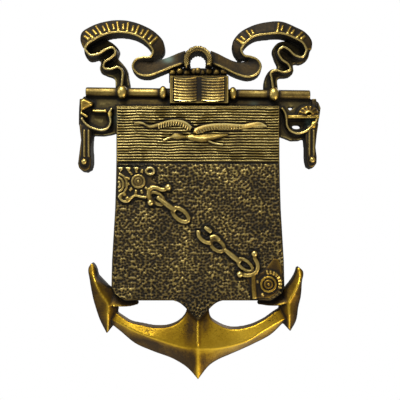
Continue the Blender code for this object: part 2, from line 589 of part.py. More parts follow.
def hilt_pieces():
    sides = (
        ("left", HILT_LEFT, WEB_LEFT, GRIP_LEFT, LOOP_LEFT,
         (0.925, -0.965), (0.925, 0.889), (0.717, -0.30)),
        ("right", HILT_RIGHT, WEB_RIGHT, GRIP_RIGHT, LOOP_RIGHT,
         (0.93, -0.94), (0.943, 0.908), (0.94, -0.45)),
    )
    for side, frame, web, grip, loop, pommel, grooves, pad in sides:
        yield slab(f"web_{side}", corners(web, frame), WEB_HEIGHT)
        yield slab(f"grip_{side}", corners(grip, frame), GRIP_HEIGHT, edge=GRIP_ROUND)
        yield rim(f"loop_{side}", trace(loop, frame, (HILT_RIM, HILT_RIM), 18), HILT_RIM_WIDTH)
        for number, x in enumerate(grooves):
            line = trace([(x, -0.52), (x, -0.70), (x, -0.90)], frame, (HILT_RIM, HILT_RIM), 4)
            yield rim(f"grip_line_{side}_{number}", line, GRIP_LINE_WIDTH)
        x, z = corners([pommel], frame)[0]
        yield ball(f"pommel_{side}", x, z, HILT_RIM - 0.4 * POMMEL_RADIUS, POMMEL_RADIUS)
        x, z = corners([pad], frame)[0]
        yield ball(f"pad_{side}", x, z, HILT_RIM - PAD_RADIUS, PAD_RADIUS, tall=1.6)
        outside = trace([(0.95, -0.08), (0.955, -0.26), (0.955, -0.44)], frame, (GUARD_FOOT, GUARD_HEIGHT), 5)
        yield rim(f"guard_{side}", outside, GUARD_WIDTH)
    yield from guard_details()


def guard_details():
    """What differs between the guards: a boss and bars to the left, a fluted fan and a ledge to the right."""
    rising = (HILT_RIM - BURY, HILT_RIM)
    yield slab("boss_left", corners(BOSS_LEFT, HILT_LEFT), HILT_RIM, edge=BOSS_ROUND)
    bar = trace([(0.862, -0.252), (0.813, -0.256), (0.745, -0.259)], HILT_LEFT, rising, 3)
    yield rim("guard_bar", bar, GUARD_BAR_WIDTH)
    stay = trace([(0.955, -0.28), (0.93, -0.305), (0.90, -0.34)], HILT_LEFT, (HILT_RIM, HILT_RIM), 3)
    yield rim("guard_stay", stay, GUARD_BAR_WIDTH)
    ledge = trace([(0.73, -0.335), (0.86, -0.335), (0.985, -0.335)], HILT_RIGHT, rising, 4)
    yield rim("guard_ledge", ledge, LEDGE_WIDTH)
    x, z = corners([(0.903, -0.315)], HILT_RIGHT)[0]
    turns = 2 * FAN_FLUTES + 1
    hub = arc(x, z, FAN_HUB, FAN_HUB, 12, 168, FAN_CREST, turns)
    edge = arc(x, z, FAN_RADIUS, 0.9 * FAN_RADIUS, 12, 168, FAN_CREST - FAN_FALL, turns)
    edge[1::2, 2] += FAN_FLUTING
    yield bank("fan", edge, hub)


BRACKET_UPPER = [(-0.0172, 0.0264), (-0.0194, 0.025), (-0.0217, 0.0252), (-0.0243, 0.0262),
                 (-0.0266, 0.0262), (-0.0282, 0.0248), (-0.0286, 0.0225), (-0.0283, 0.0202),
                 (-0.0275, 0.0175)]
BRACKET_LOWER = [(0.0328, -0.0122), (0.033, -0.0149), (0.0343, -0.0173), (0.0348, -0.0199),
                 (0.034, -0.0225), (0.0316, -0.0243), (0.0285, -0.0247), (0.0243, -0.0241)]
HOOK = [(0.0004, 0.0013), (0.0003, -0.0013), (0.0018, -0.0036), (0.0044, -0.0054), (0.0073, -0.0061)]
CHAIN_BARS = (
    ("bar_upper", (-0.0237, 0.0207), (-0.0130, 0.0126), 1.9),
    ("bar_broken", (0.0038, 0.0034), (0.0079, 0.0003), 1.6),
    ("bar_lower", (0.0154, -0.0097), (0.0247, -0.0173), 2.1),
)
CHAIN_RINGS = (
    ("link_first", -0.0237, 0.0199, 0.0050, 0.0027, 1.3),
    ("link_third", -0.0101, 0.0104, 0.0056, 0.0029, 1.7),
    ("link_torn", 0.0113, -0.0074, 0.0046, 0.0028, 1.4),
    ("link_last", 0.0273, -0.0187, 0.0053, 0.0025, 1.2),
)


def chain_pieces():
    base = SHIELD_FACE - BURY
    for name, path in (("bracket_upper", BRACKET_UPPER), ("bracket_lower", BRACKET_LOWER)):
        line = trace(path, FIGURES, (LINK_HEIGHT, LINK_HEIGHT), 13)
        yield rim(name, line, BRACKET_WIDTH, base=base)
        for end in (0, -1):
            x, z = line[end][:2]
            yield ball(f"{name}_ball{end}", x, z, LINK_HEIGHT - BALL_RADIUS * 0.5, BALL_RADIUS)
    yield rim("hook", trace(HOOK, FIGURES, (LINK_HEIGHT, LINK_HEIGHT), 9), BRACKET_WIDTH, base=base)
    for name, start, end, stout in CHAIN_BARS:
        middle = tuple((a + b) / 2 for a, b in zip(start, end))
        line = trace([start, middle, end], FIGURES, (LINK_HEIGHT, LINK_HEIGHT + LINK_SWELL, LINK_HEIGHT), 5)
        width = stout * LINK_WIRE * np.interp(np.linspace(0, 1, len(line)), (0, 0.5, 1), (0.7, 1.0, 0.9))
        yield rim(name, line, width, base=base)
    for name, x, z, long, short, stout in CHAIN_RINGS:
        oval = arc(x, FIGURE_Z + z, long, short, 0, 330, LINK_HEIGHT - LINK_SWELL, 12, tilt=LINK_TILT)
        yield rim(name, oval, stout * LINK_WIRE, base=base, closed=True)
    level = (LINK_HEIGHT, LINK_HEIGHT)
    crescent = trace([(0.0070, -0.0030), (0.0098, -0.0021), (0.0125, -0.0044)], FIGURES, level, 5)
    yield rim("bar_crescent", crescent, 1.8 * LINK_WIRE, base=base)
    falling = (LINK_HEIGHT, CORNER_HEIGHT)
    stem = trace([(0.0322, -0.0250), (0.0324, -0.0315), (0.0330, -0.0383)], FIGURES, falling, 4)
    yield rim("stem", stem, STEM_WIDTH, base=base)


PLATE_UPPER = [(-0.0472, 0.0383), (-0.0296, 0.0383), (-0.0249, 0.0379), (-0.0246, 0.0347),
               (-0.0267, 0.0312), (-0.0232, 0.0289), (-0.0255, 0.026), (-0.0278, 0.0231),
               (-0.0281, 0.0196), (-0.0319, 0.0193), (-0.0365, 0.0205), (-0.0389, 0.0187),
               (-0.0412, 0.0164), (-0.0447, 0.0175), (-0.0472, 0.0205)]
PLATE_LOWER = [(0.0273, -0.0257), (0.0308, -0.0231), (0.0372, -0.0225), (0.0418, -0.017),
               (0.0436, -0.0144), (0.0471, -0.015), (0.0490, -0.0193), (0.0496, -0.0275),
               (0.0480, -0.0335), (0.0448, -0.0366), (0.0418, -0.0385), (0.031, -0.0385),
               (0.0297, -0.0315)]
SCROLL = [(-0.0460, 0.0213), (-0.0443, 0.0190), (-0.0412, 0.0180), (-0.0389, 0.0200), (-0.0366, 0.0216),
          (-0.0331, 0.0209), (-0.0300, 0.0206)]
ROSETTE_UPPER = (-0.0346, 0.0298, 0.0036)
ROSETTE_LOWER = (0.0409, -0.0299, 0.0043)
ROSETTE_KNOB = 0.0010
LOOP_OVAL = (-0.0467, 0.0280)
LOOP_DROP = (-0.0278, 0.0358)
TEETH = (-0.0448, -0.0404, -0.0358)
TOOTH_HALF = 0.0018
SCALLOP_RADII = (0.0058, 0.0070, 0.0080)


def corner_pieces():
    """The lobed figures in two corners of the lower field."""
    base = SHIELD_FACE - BURY
    for name, outline in (("plate_upper", PLATE_UPPER), ("plate_lower", PLATE_LOWER)):
        yield slab(name, corners(outline, FIGURES), PLATE_HEIGHT, base=base, edge=PLATE_ROUND)
    for name, (x, z, outer) in (("rosette_upper", ROSETTE_UPPER), ("rosette_lower", ROSETTE_LOWER)):
        for ring, radius in enumerate((outer, outer * 0.5)):
            circle = arc(x, FIGURE_Z + z, radius, radius, 0, 330, CORNER_HEIGHT, 12)
            yield rim(f"{name}_{ring}", circle, CORNER_WIRE, base=base, closed=True)
        yield ball(f"{name}_knob", x, FIGURE_Z + z, CORNER_HEIGHT - 0.6 * ROSETTE_KNOB, ROSETTE_KNOB)
    for number, radius in enumerate((0.0018, 0.0038)):
        x, z = LOOP_OVAL
        half = arc(x, FIGURE_Z + z, radius, 1.15 * radius, -80, 80, CORNER_HEIGHT, 6)
        yield rim(f"loop_oval_{number}", half, CORNER_WIRE, base=base)
    x, z = LOOP_DROP
    drop = arc(x, FIGURE_Z + z, 0.0024, 0.0019, 0, 330, CORNER_HEIGHT, 12)
    yield rim("loop_drop", drop, CORNER_WIRE, base=base, closed=True)
    yield rim("scroll", trace(SCROLL, FIGURES, (CORNER_HEIGHT, CORNER_HEIGHT), 13), CORNER_WIRE, base=base)
    for number, x in enumerate(TEETH):
        tooth = [(x - TOOTH_HALF, 0.0380), (x + TOOTH_HALF, 0.0380), (x, 0.0354)]
        yield slab(f"tooth_{number}", corners(tooth, FIGURES), CORNER_HEIGHT, base=base)
    for number in range(SCALLOPS):
        turn = math.radians(-15 + 110 * number / (SCALLOPS - 1))
        x, z = ROSETTE_LOWER[:2]
        ends = [(x + r * math.cos(turn), z + r * math.sin(turn)) for r in SCALLOP_RADII]
        scallop = trace(ends, FIGURES, (CORNER_HEIGHT, CORNER_HEIGHT), 3)
        yield rim(f"scallop_{number}", scallop, CORNER_WIRE, base=base, steps=2)


WING_LEAD_LEFT = [(-0.976, 0.209), (-0.915, 0.223), (-0.854, 0.217), (-0.747, 0.163), (-0.609, 0.194),
                  (-0.457, 0.238), (-0.319, 0.25), (-0.182, 0.217), (-0.091, 0.141)]
WING_TRAIL_LEFT = [(-0.97, 0.19), (-0.90, 0.19), (-0.84, 0.175), (-0.747, 0.125), (-0.609, 0.145),
                   (-0.457, 0.18), (-0.319, 0.19), (-0.20, 0.15), (-0.13, 0.08)]
WING_LEAD_RIGHT = [(-0.075, 0.057), (-0.045, 0.107), (0.047, 0.151), (0.154, 0.177), (0.367, 0.195),
                   (0.688, 0.179), (0.978, 0.203), (1.054, 0.156)]
WING_TRAIL_RIGHT = [(-0.075, 0.041), (0.016, 0.037), (0.123, 0.075), (0.261, 0.095), (0.459, 0.095),
                    (0.688, 0.11), (0.947, 0.148), (1.054, 0.141)]
BODY_TOP = [(-0.15, 0.018), (-0.091, 0.034), (0.001, 0.025), (0.123, 0.041), (0.276, 0.041),
            (0.444, 0.041)]
BODY_MIDDLE = [(-0.16, -0.012), (-0.075, -0.017), (0.032, -0.035), (0.154, -0.027), (0.291, -0.004),
               (0.459, 0.026)]
BODY_BOTTOM = [(-0.15, -0.043), (-0.06, -0.073), (0.062, -0.093), (0.169, -0.07), (0.306, -0.032),
               (0.459, 0.011)]
HEAD_TOP = [(-0.434, -0.006), (-0.381, 0.034), (-0.319, 0.052), (-0.258, 0.037), (-0.20, 0.016),
            (-0.13, 0.018)]
HEAD_MIDDLE = [(-0.434, -0.010), (-0.381, -0.002), (-0.319, 0.0), (-0.258, -0.003), (-0.20, -0.008),
               (-0.13, -0.012)]
HEAD_BOTTOM = [(-0.434, -0.015), (-0.381, -0.037), (-0.319, -0.049), (-0.258, -0.043), (-0.20, -0.030),
               (-0.13, -0.04)]


def gull_pieces():
    base = SHIELD_FACE - BURY
    low = SHIELD_FACE + GULL_FOOT
    wings = (("wing_left", WING_LEAD_LEFT, WING_TRAIL_LEFT, (GULL_TIP, GULL_CREST, GULL_CREST)),
             ("wing_right", WING_LEAD_RIGHT, WING_TRAIL_RIGHT, (GULL_CREST, GULL_CREST, GULL_TIP)))
    for name, lead, trail, heights in wings:
        yield bank(name, trace(trail, GULL, (low, low), 14), trace(lead, GULL, heights, 14), base=base)
    bodies = (("gull_body", BODY_BOTTOM, BODY_MIDDLE, BODY_TOP, (GULL_TIP, GULL_CREST, GULL_TIP)),
              ("gull_head", HEAD_BOTTOM, HEAD_MIDDLE, HEAD_TOP, (GULL_TIP, GULL_CREST, GULL_TIP)))
    for name, bottom, middle, top, heights in bodies:
        yield ridged(name, trace(bottom, GULL, (low, low), 9), trace(middle, GULL, heights, 9),
                     trace(top, GULL, (low, low), 9), base=base)
    beak = trace([(-0.396, -0.004), (-0.457, -0.027), (-0.526, -0.062)], GULL, (GULL_TIP, GULL_TIP), 3)
    yield rim("gull_beak", beak, BEAK_WIDTH, base=base)
    feet = trace([(0.161, -0.066), (0.245, -0.104), (0.383, -0.124)], GULL, (GULL_TIP, GULL_TIP), 4)
    yield rim("gull_feet", feet, BEAK_WIDTH, base=base)


def prism(name, outline, low, high):
    """A straight cutter between two heights."""
    return loft(name, [[(x, z, level) for x, z in outline] for level in (low, high)])


def cutters():
    yield prism("cut_back", [(-AROUND, -AROUND), (AROUND, -AROUND), (AROUND, AROUND), (-AROUND, AROUND)],
                -THROUGH, 0.0)
    yield groove_cutter()
    half = EYE_WIDTH / 2
    hole = [tuple(point[:2]) for point in arc(0.0, EYE_HOLE_TOP - half, half, half, 0, 180, 0.0, 9)]
    hole += [(-half, EYE_SILL), (half, EYE_SILL)]
    loops = []
    for level, by in ((-BURY, 0.0), (0.0, 0.0), (THROUGH, EYE_FLARE)):
        plan = grown(hole, by)
        loops.append(np.column_stack([plan, np.full(len(plan), level)]))
    yield loft("cut_eye", loops)
    slot = corners([(0.735, -0.195), (0.80, -0.185), (0.755, -0.24)], HILT_RIGHT)
    yield prism("cut_slot", slot, -BURY, THROUGH)
    x, z = corners([(0.81, -0.47)], HILT_RIGHT)[0]
    oval = arc(x, z, 0.0026, 0.0012, 0, 324, 0.0, 10)
    yield prism("cut_oval", [tuple(point[:2]) for point in oval], -BURY, THROUGH)


def cast_brass():
    """Aged brass: dark patina with worn bright places."""
    material = bpy.data.materials.new("aged_brass")
    material.use_nodes = True
    shader = material.node_tree.nodes["Principled BSDF"]
    shader.inputs["Base Color"].default_value = (0.36, 0.22, 0.07, 1.0)
    shader.inputs["Metallic"].default_value = 1.0
    shader.inputs["Roughness"].default_value = 0.38
    material.diffuse_color = (0.36, 0.22, 0.07, 1.0)
    return material


def main():
    for thing in list(bpy.data.objects):
        bpy.data.objects.remove(thing)
    plaque_parts = bpy.data.collections.new("anchor_plaque")
    forms = bpy.data.collections.new("forms_to_join")
    cuts = bpy.data.collections.new("cutters")
    for group in (plaque_parts, forms, cuts):
        bpy.context.scene.collection.children.link(group)
    pieces = []
    makers = (shield_pieces, anchor_pieces, stock_pieces, ribbon_pieces, eye_pieces, book_pieces, hilt_pieces,
              chain_pieces, corner_pieces, gull_pieces)
    for make in makers:
        pieces.extend(make())
    plaque = pieces[0]
    plaque.name = "cast_plaque"
    plaque.hide_render = False
    plaque.display_type = "TEXTURED"
    plaque_parts.objects.link(plaque)
    plaque.data.materials.append(cast_brass())
    for piece in pieces[1:]:
        forms.objects.link(piece)
    for cutter in cutters():
        cuts.objects.link(cutter)
    for operation, group in (("UNION", forms), ("DIFFERENCE", cuts)):
        boolean = plaque.modifiers.new(operation.lower(), "BOOLEAN")
        boolean.operation = operation
        boolean.operand_type = "COLLECTION"
        boolean.collection = group
        boolean.solver = "EXACT"


main()
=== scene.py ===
"""Looks of the cast brass anchor wall plaque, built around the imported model.

The casting is remade here at a finer scale in six fused pieces: the shield with its gull and its grounds,
the chain and corner figures, the anchor, the ribbons, the stock with the hilts, and the eye with the book.
A plan point is (x, z), and its height is its distance from the flat back, which lies in the plane y = 0.
"""

import json
import math

import bmesh
import bpy
import numpy as np
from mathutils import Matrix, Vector
from mathutils.bvhtree import BVHTree

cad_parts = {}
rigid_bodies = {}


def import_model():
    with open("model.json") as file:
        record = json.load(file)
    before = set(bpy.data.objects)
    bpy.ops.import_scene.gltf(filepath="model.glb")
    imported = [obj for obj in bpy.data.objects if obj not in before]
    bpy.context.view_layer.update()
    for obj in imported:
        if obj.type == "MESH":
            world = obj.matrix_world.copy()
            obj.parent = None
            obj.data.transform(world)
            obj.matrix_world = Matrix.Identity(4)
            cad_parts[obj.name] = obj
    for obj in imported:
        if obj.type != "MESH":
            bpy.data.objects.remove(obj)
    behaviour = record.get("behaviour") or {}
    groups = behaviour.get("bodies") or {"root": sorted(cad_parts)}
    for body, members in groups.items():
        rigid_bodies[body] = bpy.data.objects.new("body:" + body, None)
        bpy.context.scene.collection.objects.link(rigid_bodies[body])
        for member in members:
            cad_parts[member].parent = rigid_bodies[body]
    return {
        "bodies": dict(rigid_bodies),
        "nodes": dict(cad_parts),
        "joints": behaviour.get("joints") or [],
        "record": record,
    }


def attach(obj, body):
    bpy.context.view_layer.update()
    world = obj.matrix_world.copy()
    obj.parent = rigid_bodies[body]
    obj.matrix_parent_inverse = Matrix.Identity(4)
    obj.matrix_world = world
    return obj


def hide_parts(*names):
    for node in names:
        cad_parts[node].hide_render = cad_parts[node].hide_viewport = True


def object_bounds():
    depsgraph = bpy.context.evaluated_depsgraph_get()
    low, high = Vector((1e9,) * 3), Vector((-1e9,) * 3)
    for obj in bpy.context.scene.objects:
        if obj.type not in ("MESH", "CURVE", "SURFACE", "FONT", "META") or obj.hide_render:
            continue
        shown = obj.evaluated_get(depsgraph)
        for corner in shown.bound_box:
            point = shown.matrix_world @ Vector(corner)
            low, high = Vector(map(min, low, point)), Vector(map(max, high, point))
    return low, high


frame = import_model()
cad_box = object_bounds()

# Shield, in the middle
SHIELD_WIDTH = 0.0952
SHIELD_TOP = -0.026
SHIELD_HEIGHT = 0.1136
SHIELD_FACE = 0.0125
SHIELD_EDGE = 0.0006
UPPER_FIELD = 0.034
FIELD_GROOVE = 0.0011
GROOVE_MIDDLE = SHIELD_TOP - UPPER_FIELD + FIELD_GROOVE / 2
FIELD_RIBS = 20
TIP_REACH = 0.0143

# Anchor: its arms and flukes show below and beside the shield
ANCHOR_REACH = 0.064
ANCHOR_RISE = 0.070
CROWN_Z = -0.188
ARM_EDGE = 0.0098
ARM_CREST = 0.0120
ARM_ROOT = 0.0066
ARM_FALL = 0.0010
SPINE_RISE = 0.0008
CROWN_VALLEY = 0.0084
PALM_FOOT = 0.0050
FLUKE_CREST = 0.0116
FLUKE_EDGE = 0.0070
RIM_FOOT = 0.0026
ARM_LAP = 0.0006

# Stock, the bar across the top of the shield
STOCK_REACH = 0.0663
STOCK_Z = -0.018
STOCK_TILT = 0.0009
STOCK_RADIUS = 0.0029
STOCK_HEIGHT = 0.0084
STOCK_WEB = 0.0058
WEB_REACH = 0.0465
WEB_LAP = 0.0020
KNOT_WIDTH = 0.0066
KNOT_X = 0.0447
KNOT_LENGTH = 0.0084
COLLAR_X = 0.0206
COLLAR_WIDTH = 0.0050
COLLAR_LENGTH = 0.0080
COLLAR_SWELL = 1.2

# Ribbons, one to each side of the eye
RIBBON_REACH = 0.072
RIBBON_RISE = 0.042
RIBBON_EDGE = 0.0007
RIBBON_CREST = 0.0133
RIBBON_FOOT = 0.0105
RIBBON_FOLD = 0.0120
RIBBON_FALL = 0.0008
CURL_END = 0.0098
BAND_HEIGHT = 0.0090
BAND_END = 0.0100
STRIP_HEIGHT = 0.0085
RIBBON_LIP = 0.0005
TAIL_FOOT = 0.0050
STROKE_RISE = 0.0007
STROKE_WIDTH = 0.0017
STROKE_PITCH = 0.040
STROKE_REACH = ((0.14, 0.88), (0.30, 0.78))

# Rope eye
EYE_RADIUS = 0.0068
EYE_ROPE = 0.0017
EYE_HEIGHT = 0.0135
EYE_WIDTH = 0.0084
EYE_SILL = -0.0030
EYE_HOLE_TOP = 0.0044
EYE_FLARE = 0.0015
EYE_MIDDLE = 0.0004
ROPE_STRANDS = 11
ROPE_SWELL = 0.16
ROPE_ENDS = (-25, 205)
STRAND_WIDTH = 0.0007
STRAND_RISE = 0.0002
STRAND_SLANT = 1.1
STRAND_REACH = 0.85
STRAND_START = -20
STRAND_SPREAD = 220
SILL_REACH = 0.0170
SILL_FALL = 0.0015
SILL_LAP = 0.0020
SILL_HEIGHT = 0.0077
KNOBS = 8
KNOB_PITCH = 0.0043
KNOB_RADIUS = 0.0022
KNOB_STEP = 0.0008

# Open book, in front of the stock
BOOK_WIDTH = 0.0342
BOOK_X = 0.0007
BOOK_TOP = -0.0084
BOOK_BOTTOM = -0.0245
BOOK_COVER = 0.0115
PAGE_WIDTH = 0.0131
PAGE_CREST = 0.0136
PAGE_MARGIN = 0.0006
PAGE_SAG = 0.0008
PAGE_START = 0.12
PAGE_SPAN = 0.68
PAGE_SWELL = 0.7
PAGE_EDGE = 0.0156
PAGE_EDGE_WIDTH = 0.0010
SPINE_HALF = 0.0014
COVER_ROUND = 0.0004
PAGE_LINES = 8
LINE_RISE = 0.0004

# Hilts, at the ends of the stock
HILT_REACH = 0.072
HILT_RISE = 0.042
WEB_HEIGHT = 0.0055
GRIP_HEIGHT = 0.0095
GRIP_ROUND = 0.0008
GRIP_LINE_WIDTH = 0.0010
HILT_RIM = 0.0105
HILT_RIM_WIDTH = 0.0013
GUARD_WIDTH = 0.0030
GUARD_FOOT = 0.0080
GUARD_HEIGHT = 0.0090
GUARD_BAR_WIDTH = 0.0015
GUARD_HOLE = (0.0026, 0.0012)
LEDGE_WIDTH = 0.0022
POMMEL_RADIUS = 0.0020
POMMEL_SINK = 0.4
PAD_RADIUS = 0.0014
PAD_TALL = 1.6
BOSS_ROUND = 0.0012
FAN_FLUTES = 6
FAN_RADIUS = 0.0064
FAN_SQUAT = 0.9
FAN_ENDS = (12, 168)
FAN_HUB = 0.0016
FAN_FALL = 0.0030
FAN_CREST = 0.0112
FAN_FLUTING = 0.0010

# Figures on the shield
FIGURE_DROP = 0.074
FIGURE_Z = SHIELD_TOP - FIGURE_DROP
LINK_WIRE = 0.0015
LINK_HEIGHT = 0.0146
LINK_SWELL = 0.0004
LINK_TILT = -38
BAR_TAPER = (0.7, 1.0, 0.9)
CRESCENT_STOUT = 1.8
BRACKET_WIDTH = 0.0027
BALL_RADIUS = 0.0020
BALL_SINK = 0.5
STEM_WIDTH = 0.0034
PLATE_HEIGHT = 0.0135
PLATE_ROUND = 0.0009
CORNER_HEIGHT = 0.0146
CORNER_WIRE = 0.0015
RING_END = 330
GULL_Z = -0.044
GULL_REACH = 0.038
GULL_CREST = 0.0152
GULL_TIP = 0.0138
GULL_FOOT = 0.0005
BEAK_WIDTH = 0.0011
QUILL_TOP = 0.0147
QUILL_FOOT = (0.0142, 0.0138)
QUILL_LEAN = 0.0006
QUILL_WIDTH = 0.0008

# Casting: a cutter goes THROUGH it, and AROUND is more than its whole size
DRAFT = math.radians(4.0)
BURY = 0.0010
FACE_BASE = SHIELD_FACE - BURY
THROUGH = 0.02
AROUND = 0.25
BALL_SIDES = 16
FINENESS = 2.4
SAME_POINT = 1e-6
SAME_HEIGHT = 0.0001

# Finish of the shield's face: heights are measured from it, and a pair is a size and a strength of waves
FACE_INSET = 0.0008
RIDGE_PITCH = (UPPER_FIELD - FIELD_GROOVE - FACE_INSET) / FIELD_RIBS
RIDGE_FOOT = -0.0004
RIDGE_RISE = 0.0010
RIDGE_SWELL = 0.8
RIDGE_BREAKS = (0.0040, 0.25)
RIDGE_DRIFT = (0.0085, 0.00028)
RIDGE_WOBBLE = (0.0026, 0.000084)
RIDGE_ROWS = 6
GROUND_FOOT = -0.0005
GROUND_RISE = 0.0011
GROUND_SWELL = 1.2
GROUND_LUMPS = (0.0040, 0.15)
GROOVE_FLOOR = -0.0008
GROOVE_SPREAD = 0.6
PUNCH_PITCH = 0.0016
PUNCH_REACH = 0.62
CAST_WAVES = (0.0090, 0.00008)
PANEL_DEPTH = 0.0014
PANEL_SINK = 0.7
PANEL_LAP = 0.0002
PANEL_STEP = 0.00044
PANEL_ACROSS = 0.00062

# Fineness of the fused pieces
FINEST_EDGE = 0.0009
ANCHOR_VOXEL = 0.0005
CREST_VOXEL = 0.00042
FIGURE_VOXEL = 0.00035
BACK_TRIM = 0.0002
SHOWS_FROM = 0.0003
SMOOTHING = 0.5

# Heights over the plan, read off the finished pieces
RASTER_STEP = 0.0004
RASTER_MARGIN = 0.006
RAY_START = -0.05
FINE_REACH = 0.0010
BROAD_REACH = 0.0040
MOST_REACH = 0.0030
NEAR_REACH = 0.0011

# Worn brightness, patina and painted shade: how far above its surroundings a place is worn bright, how deep
# is dark, how strong the painted shade along the feet of forms and on steep sides is, and what each counts
WEAR_MIDDLE = 0.5
FINE_WEAR = 0.00045
FINE_WEIGHT = 0.40
BROAD_WEAR = 0.0030
BROAD_WEIGHT = 0.12
DEEP = 0.0050
DEEP_WEIGHT = 0.18
# Painted shade: a dark line along the foot of every form, how deep it reaches and how strong it is
FOOT_SHADE_DEPTH = 0.0013
FOOT_SHADE = 0.28
ANCHOR_FOOT_SHADE = 0.112
# Painted shade on steep sides: faces turned further from the front than these values are darkened
STEEP = 0.74
ANCHOR_STEEP = 0.58
SIDE_SHADE = 0.9
SIDE_SHADE_LIMIT = 0.6
GROUND_TOP = 1.8
UPPER_WEAR = 0.20
LOWER_WEAR = -0.05
BACK_DEPTH = 0.0006
BACK_WEAR = 0.48
BACK_POLISH = (0.40, 0.25)

# Studio: a softbox has its name, place, width, height, power and colour
CAMERA_PLACE = (0.0012, -0.420, -0.081)
CAMERA_LENS = 63.0
ROOM_LIGHT = 0.30
FLOOR_Z = -0.75
FLOOR_RADIUS = 1.2
LIT_POINT = (0.0, 0.0, -0.09)
SOFTBOXES = (
    ("key", (-0.25, -0.62, 0.80), 0.50, 0.35, 14.0, (1.0, 0.97, 0.86)),
    ("fill", (0.60, -0.40, -0.75), 0.4, 0.3, 7.0, (1.0, 0.78, 0.48)),
    ("side", (-0.9, -0.4, 0.1), 0.3, 0.6, 2.0, (0.95, 0.97, 1.0)),
    ("behind", (0.45, 0.75, 0.55), 0.5, 0.4, 9.0, (1.0, 0.98, 0.94)),
)

# Frames for the shares below: x and z of the origin, then what one share is worth along x and z
ANCHOR_LEFT = (0.0, CROWN_Z, -ANCHOR_REACH, ANCHOR_RISE)
ANCHOR_RIGHT = (0.0, CROWN_Z, ANCHOR_REACH, ANCHOR_RISE)
RIBBON_LEFT = (0.0, STOCK_Z, -RIBBON_REACH, RIBBON_RISE)
RIBBON_RIGHT = (0.0, STOCK_Z, RIBBON_REACH, RIBBON_RISE)
HILT_LEFT = (0.0, STOCK_Z, -HILT_REACH, HILT_RISE)
HILT_RIGHT = (0.0, STOCK_Z, HILT_REACH, HILT_RISE)
GULL = (0.0, GULL_Z, GULL_REACH, GULL_REACH)
FIGURES = (0.0, FIGURE_Z, 1.0, 1.0)


def smooth(points, count):
    """Reads count points, evenly spaced, off a smooth curve through the given ones."""
    knots = np.array(points, float)
    steps = np.linalg.norm(np.diff(knots, axis=0), axis=1)
    length = np.concatenate([[0.0], np.cumsum(steps)])
    slopes = np.gradient(knots, length, axis=0)
    out = []
    for at in np.linspace(0.0, length[-1], count):
        i = min(int(np.searchsorted(length, at, side="right")) - 1, len(knots) - 2)
        t = (at - length[i]) / steps[i]
        start = knots[i] * (2 * t**3 - 3 * t**2 + 1) + slopes[i] * steps[i] * (t**3 - 2 * t**2 + t)
        end = knots[i + 1] * (3 * t**2 - 2 * t**3) + slopes[i + 1] * steps[i] * (t**3 - t**2)
        out.append(start + end)
    return np.array(out)


def trace(shares, frame, heights, count):
    """A smooth line (x, z, height) through plan points given as shares of a frame."""
    x0, z0, dx, dz = frame
    points = [(x0 + dx * x, z0 + dz * z) for x, z in shares]
    line = smooth(points, max(3, round(count * FINENESS)))
    keys = np.linspace(0.0, 1.0, len(heights)) if len(heights) > 1 else [0.0]
    rise = np.interp(np.linspace(0.0, 1.0, len(line)), keys, heights)
    return np.column_stack([line, rise])


def corners(shares, frame):
    """Plan points (x, z) with straight runs between them."""
    x0, z0, dx, dz = frame
    return np.array([(x0 + dx * x, z0 + dz * z) for x, z in shares])


def loft(name, sections, closed=False):
    """A closed solid through sections of equal point count, each a loop of (x, z, height)."""
    work = bmesh.new()
    rings = [[work.verts.new((x, -h, z)) for x, z, h in loop] for loop in sections]
    pairs = list(zip(rings, rings[1:]))
    if closed:
        pairs.append((rings[-1], rings[0]))
    for one, two in pairs:
        for i in range(len(one)):
            j = (i + 1) % len(one)
            work.faces.new((one[i], one[j], two[j], two[i]))
    if not closed:
        work.faces.new(rings[0])
        work.faces.new(rings[-1])
    return finished(name, work)


def finished(name, work):
    """Turns the faces outwards and makes the object, which is joined to the casting later."""
    bmesh.ops.remove_doubles(work, verts=work.verts, dist=SAME_POINT)
    bmesh.ops.triangulate(work, faces=[face for face in work.faces if len(face.verts) > 4])
    bmesh.ops.recalc_face_normals(work, faces=work.faces)
    mesh = bpy.data.meshes.new(name)
    work.to_mesh(mesh)
    work.free()
    return bpy.data.objects.new(name, mesh)


def grown(outline, by):
    """A plan outline moved outwards by a distance, inwards where it is negative."""
    points = np.array(outline, float)[:, :2]
    ahead = np.roll(points, -1, axis=0) - points
    ahead /= np.linalg.norm(ahead, axis=1)[:, None]
    behind = np.roll(ahead, 1, axis=0)
    side = np.column_stack([ahead[:, 1] + behind[:, 1], -ahead[:, 0] - behind[:, 0]])
    side /= np.linalg.norm(side, axis=1)[:, None]
    area = np.sum(points[:, 0] * np.roll(points[:, 1], -1) - np.roll(points[:, 0], -1) * points[:, 1])
    return points + side * by * (1.0 if area > 0 else -1.0)


def slab(name, outline, height, base=-BURY, edge=0.0):
    """A plate with drafted sides over a plan outline, whose top edge is cut back by edge."""
    levels = [(base, (height - base) * math.tan(DRAFT)), (height - edge, 0.0)]
    if edge:
        levels.append((height, -edge))
    loops = []
    for level, by in levels:
        plan = grown(outline, by)
        loops.append(np.column_stack([plan, np.full(len(plan), level)]))
    return loft(name, loops)


def draped(name, *lines, base=-BURY):
    """A solid whose top goes from line to line, over two of them or more."""
    sections = []
    for points in zip(*lines):
        feet = [(point[0], point[1], base) for point in (points[0], points[-1])]
        sections.append([feet[0], *(tuple(point) for point in points), feet[1]])
    return loft(name, sections)


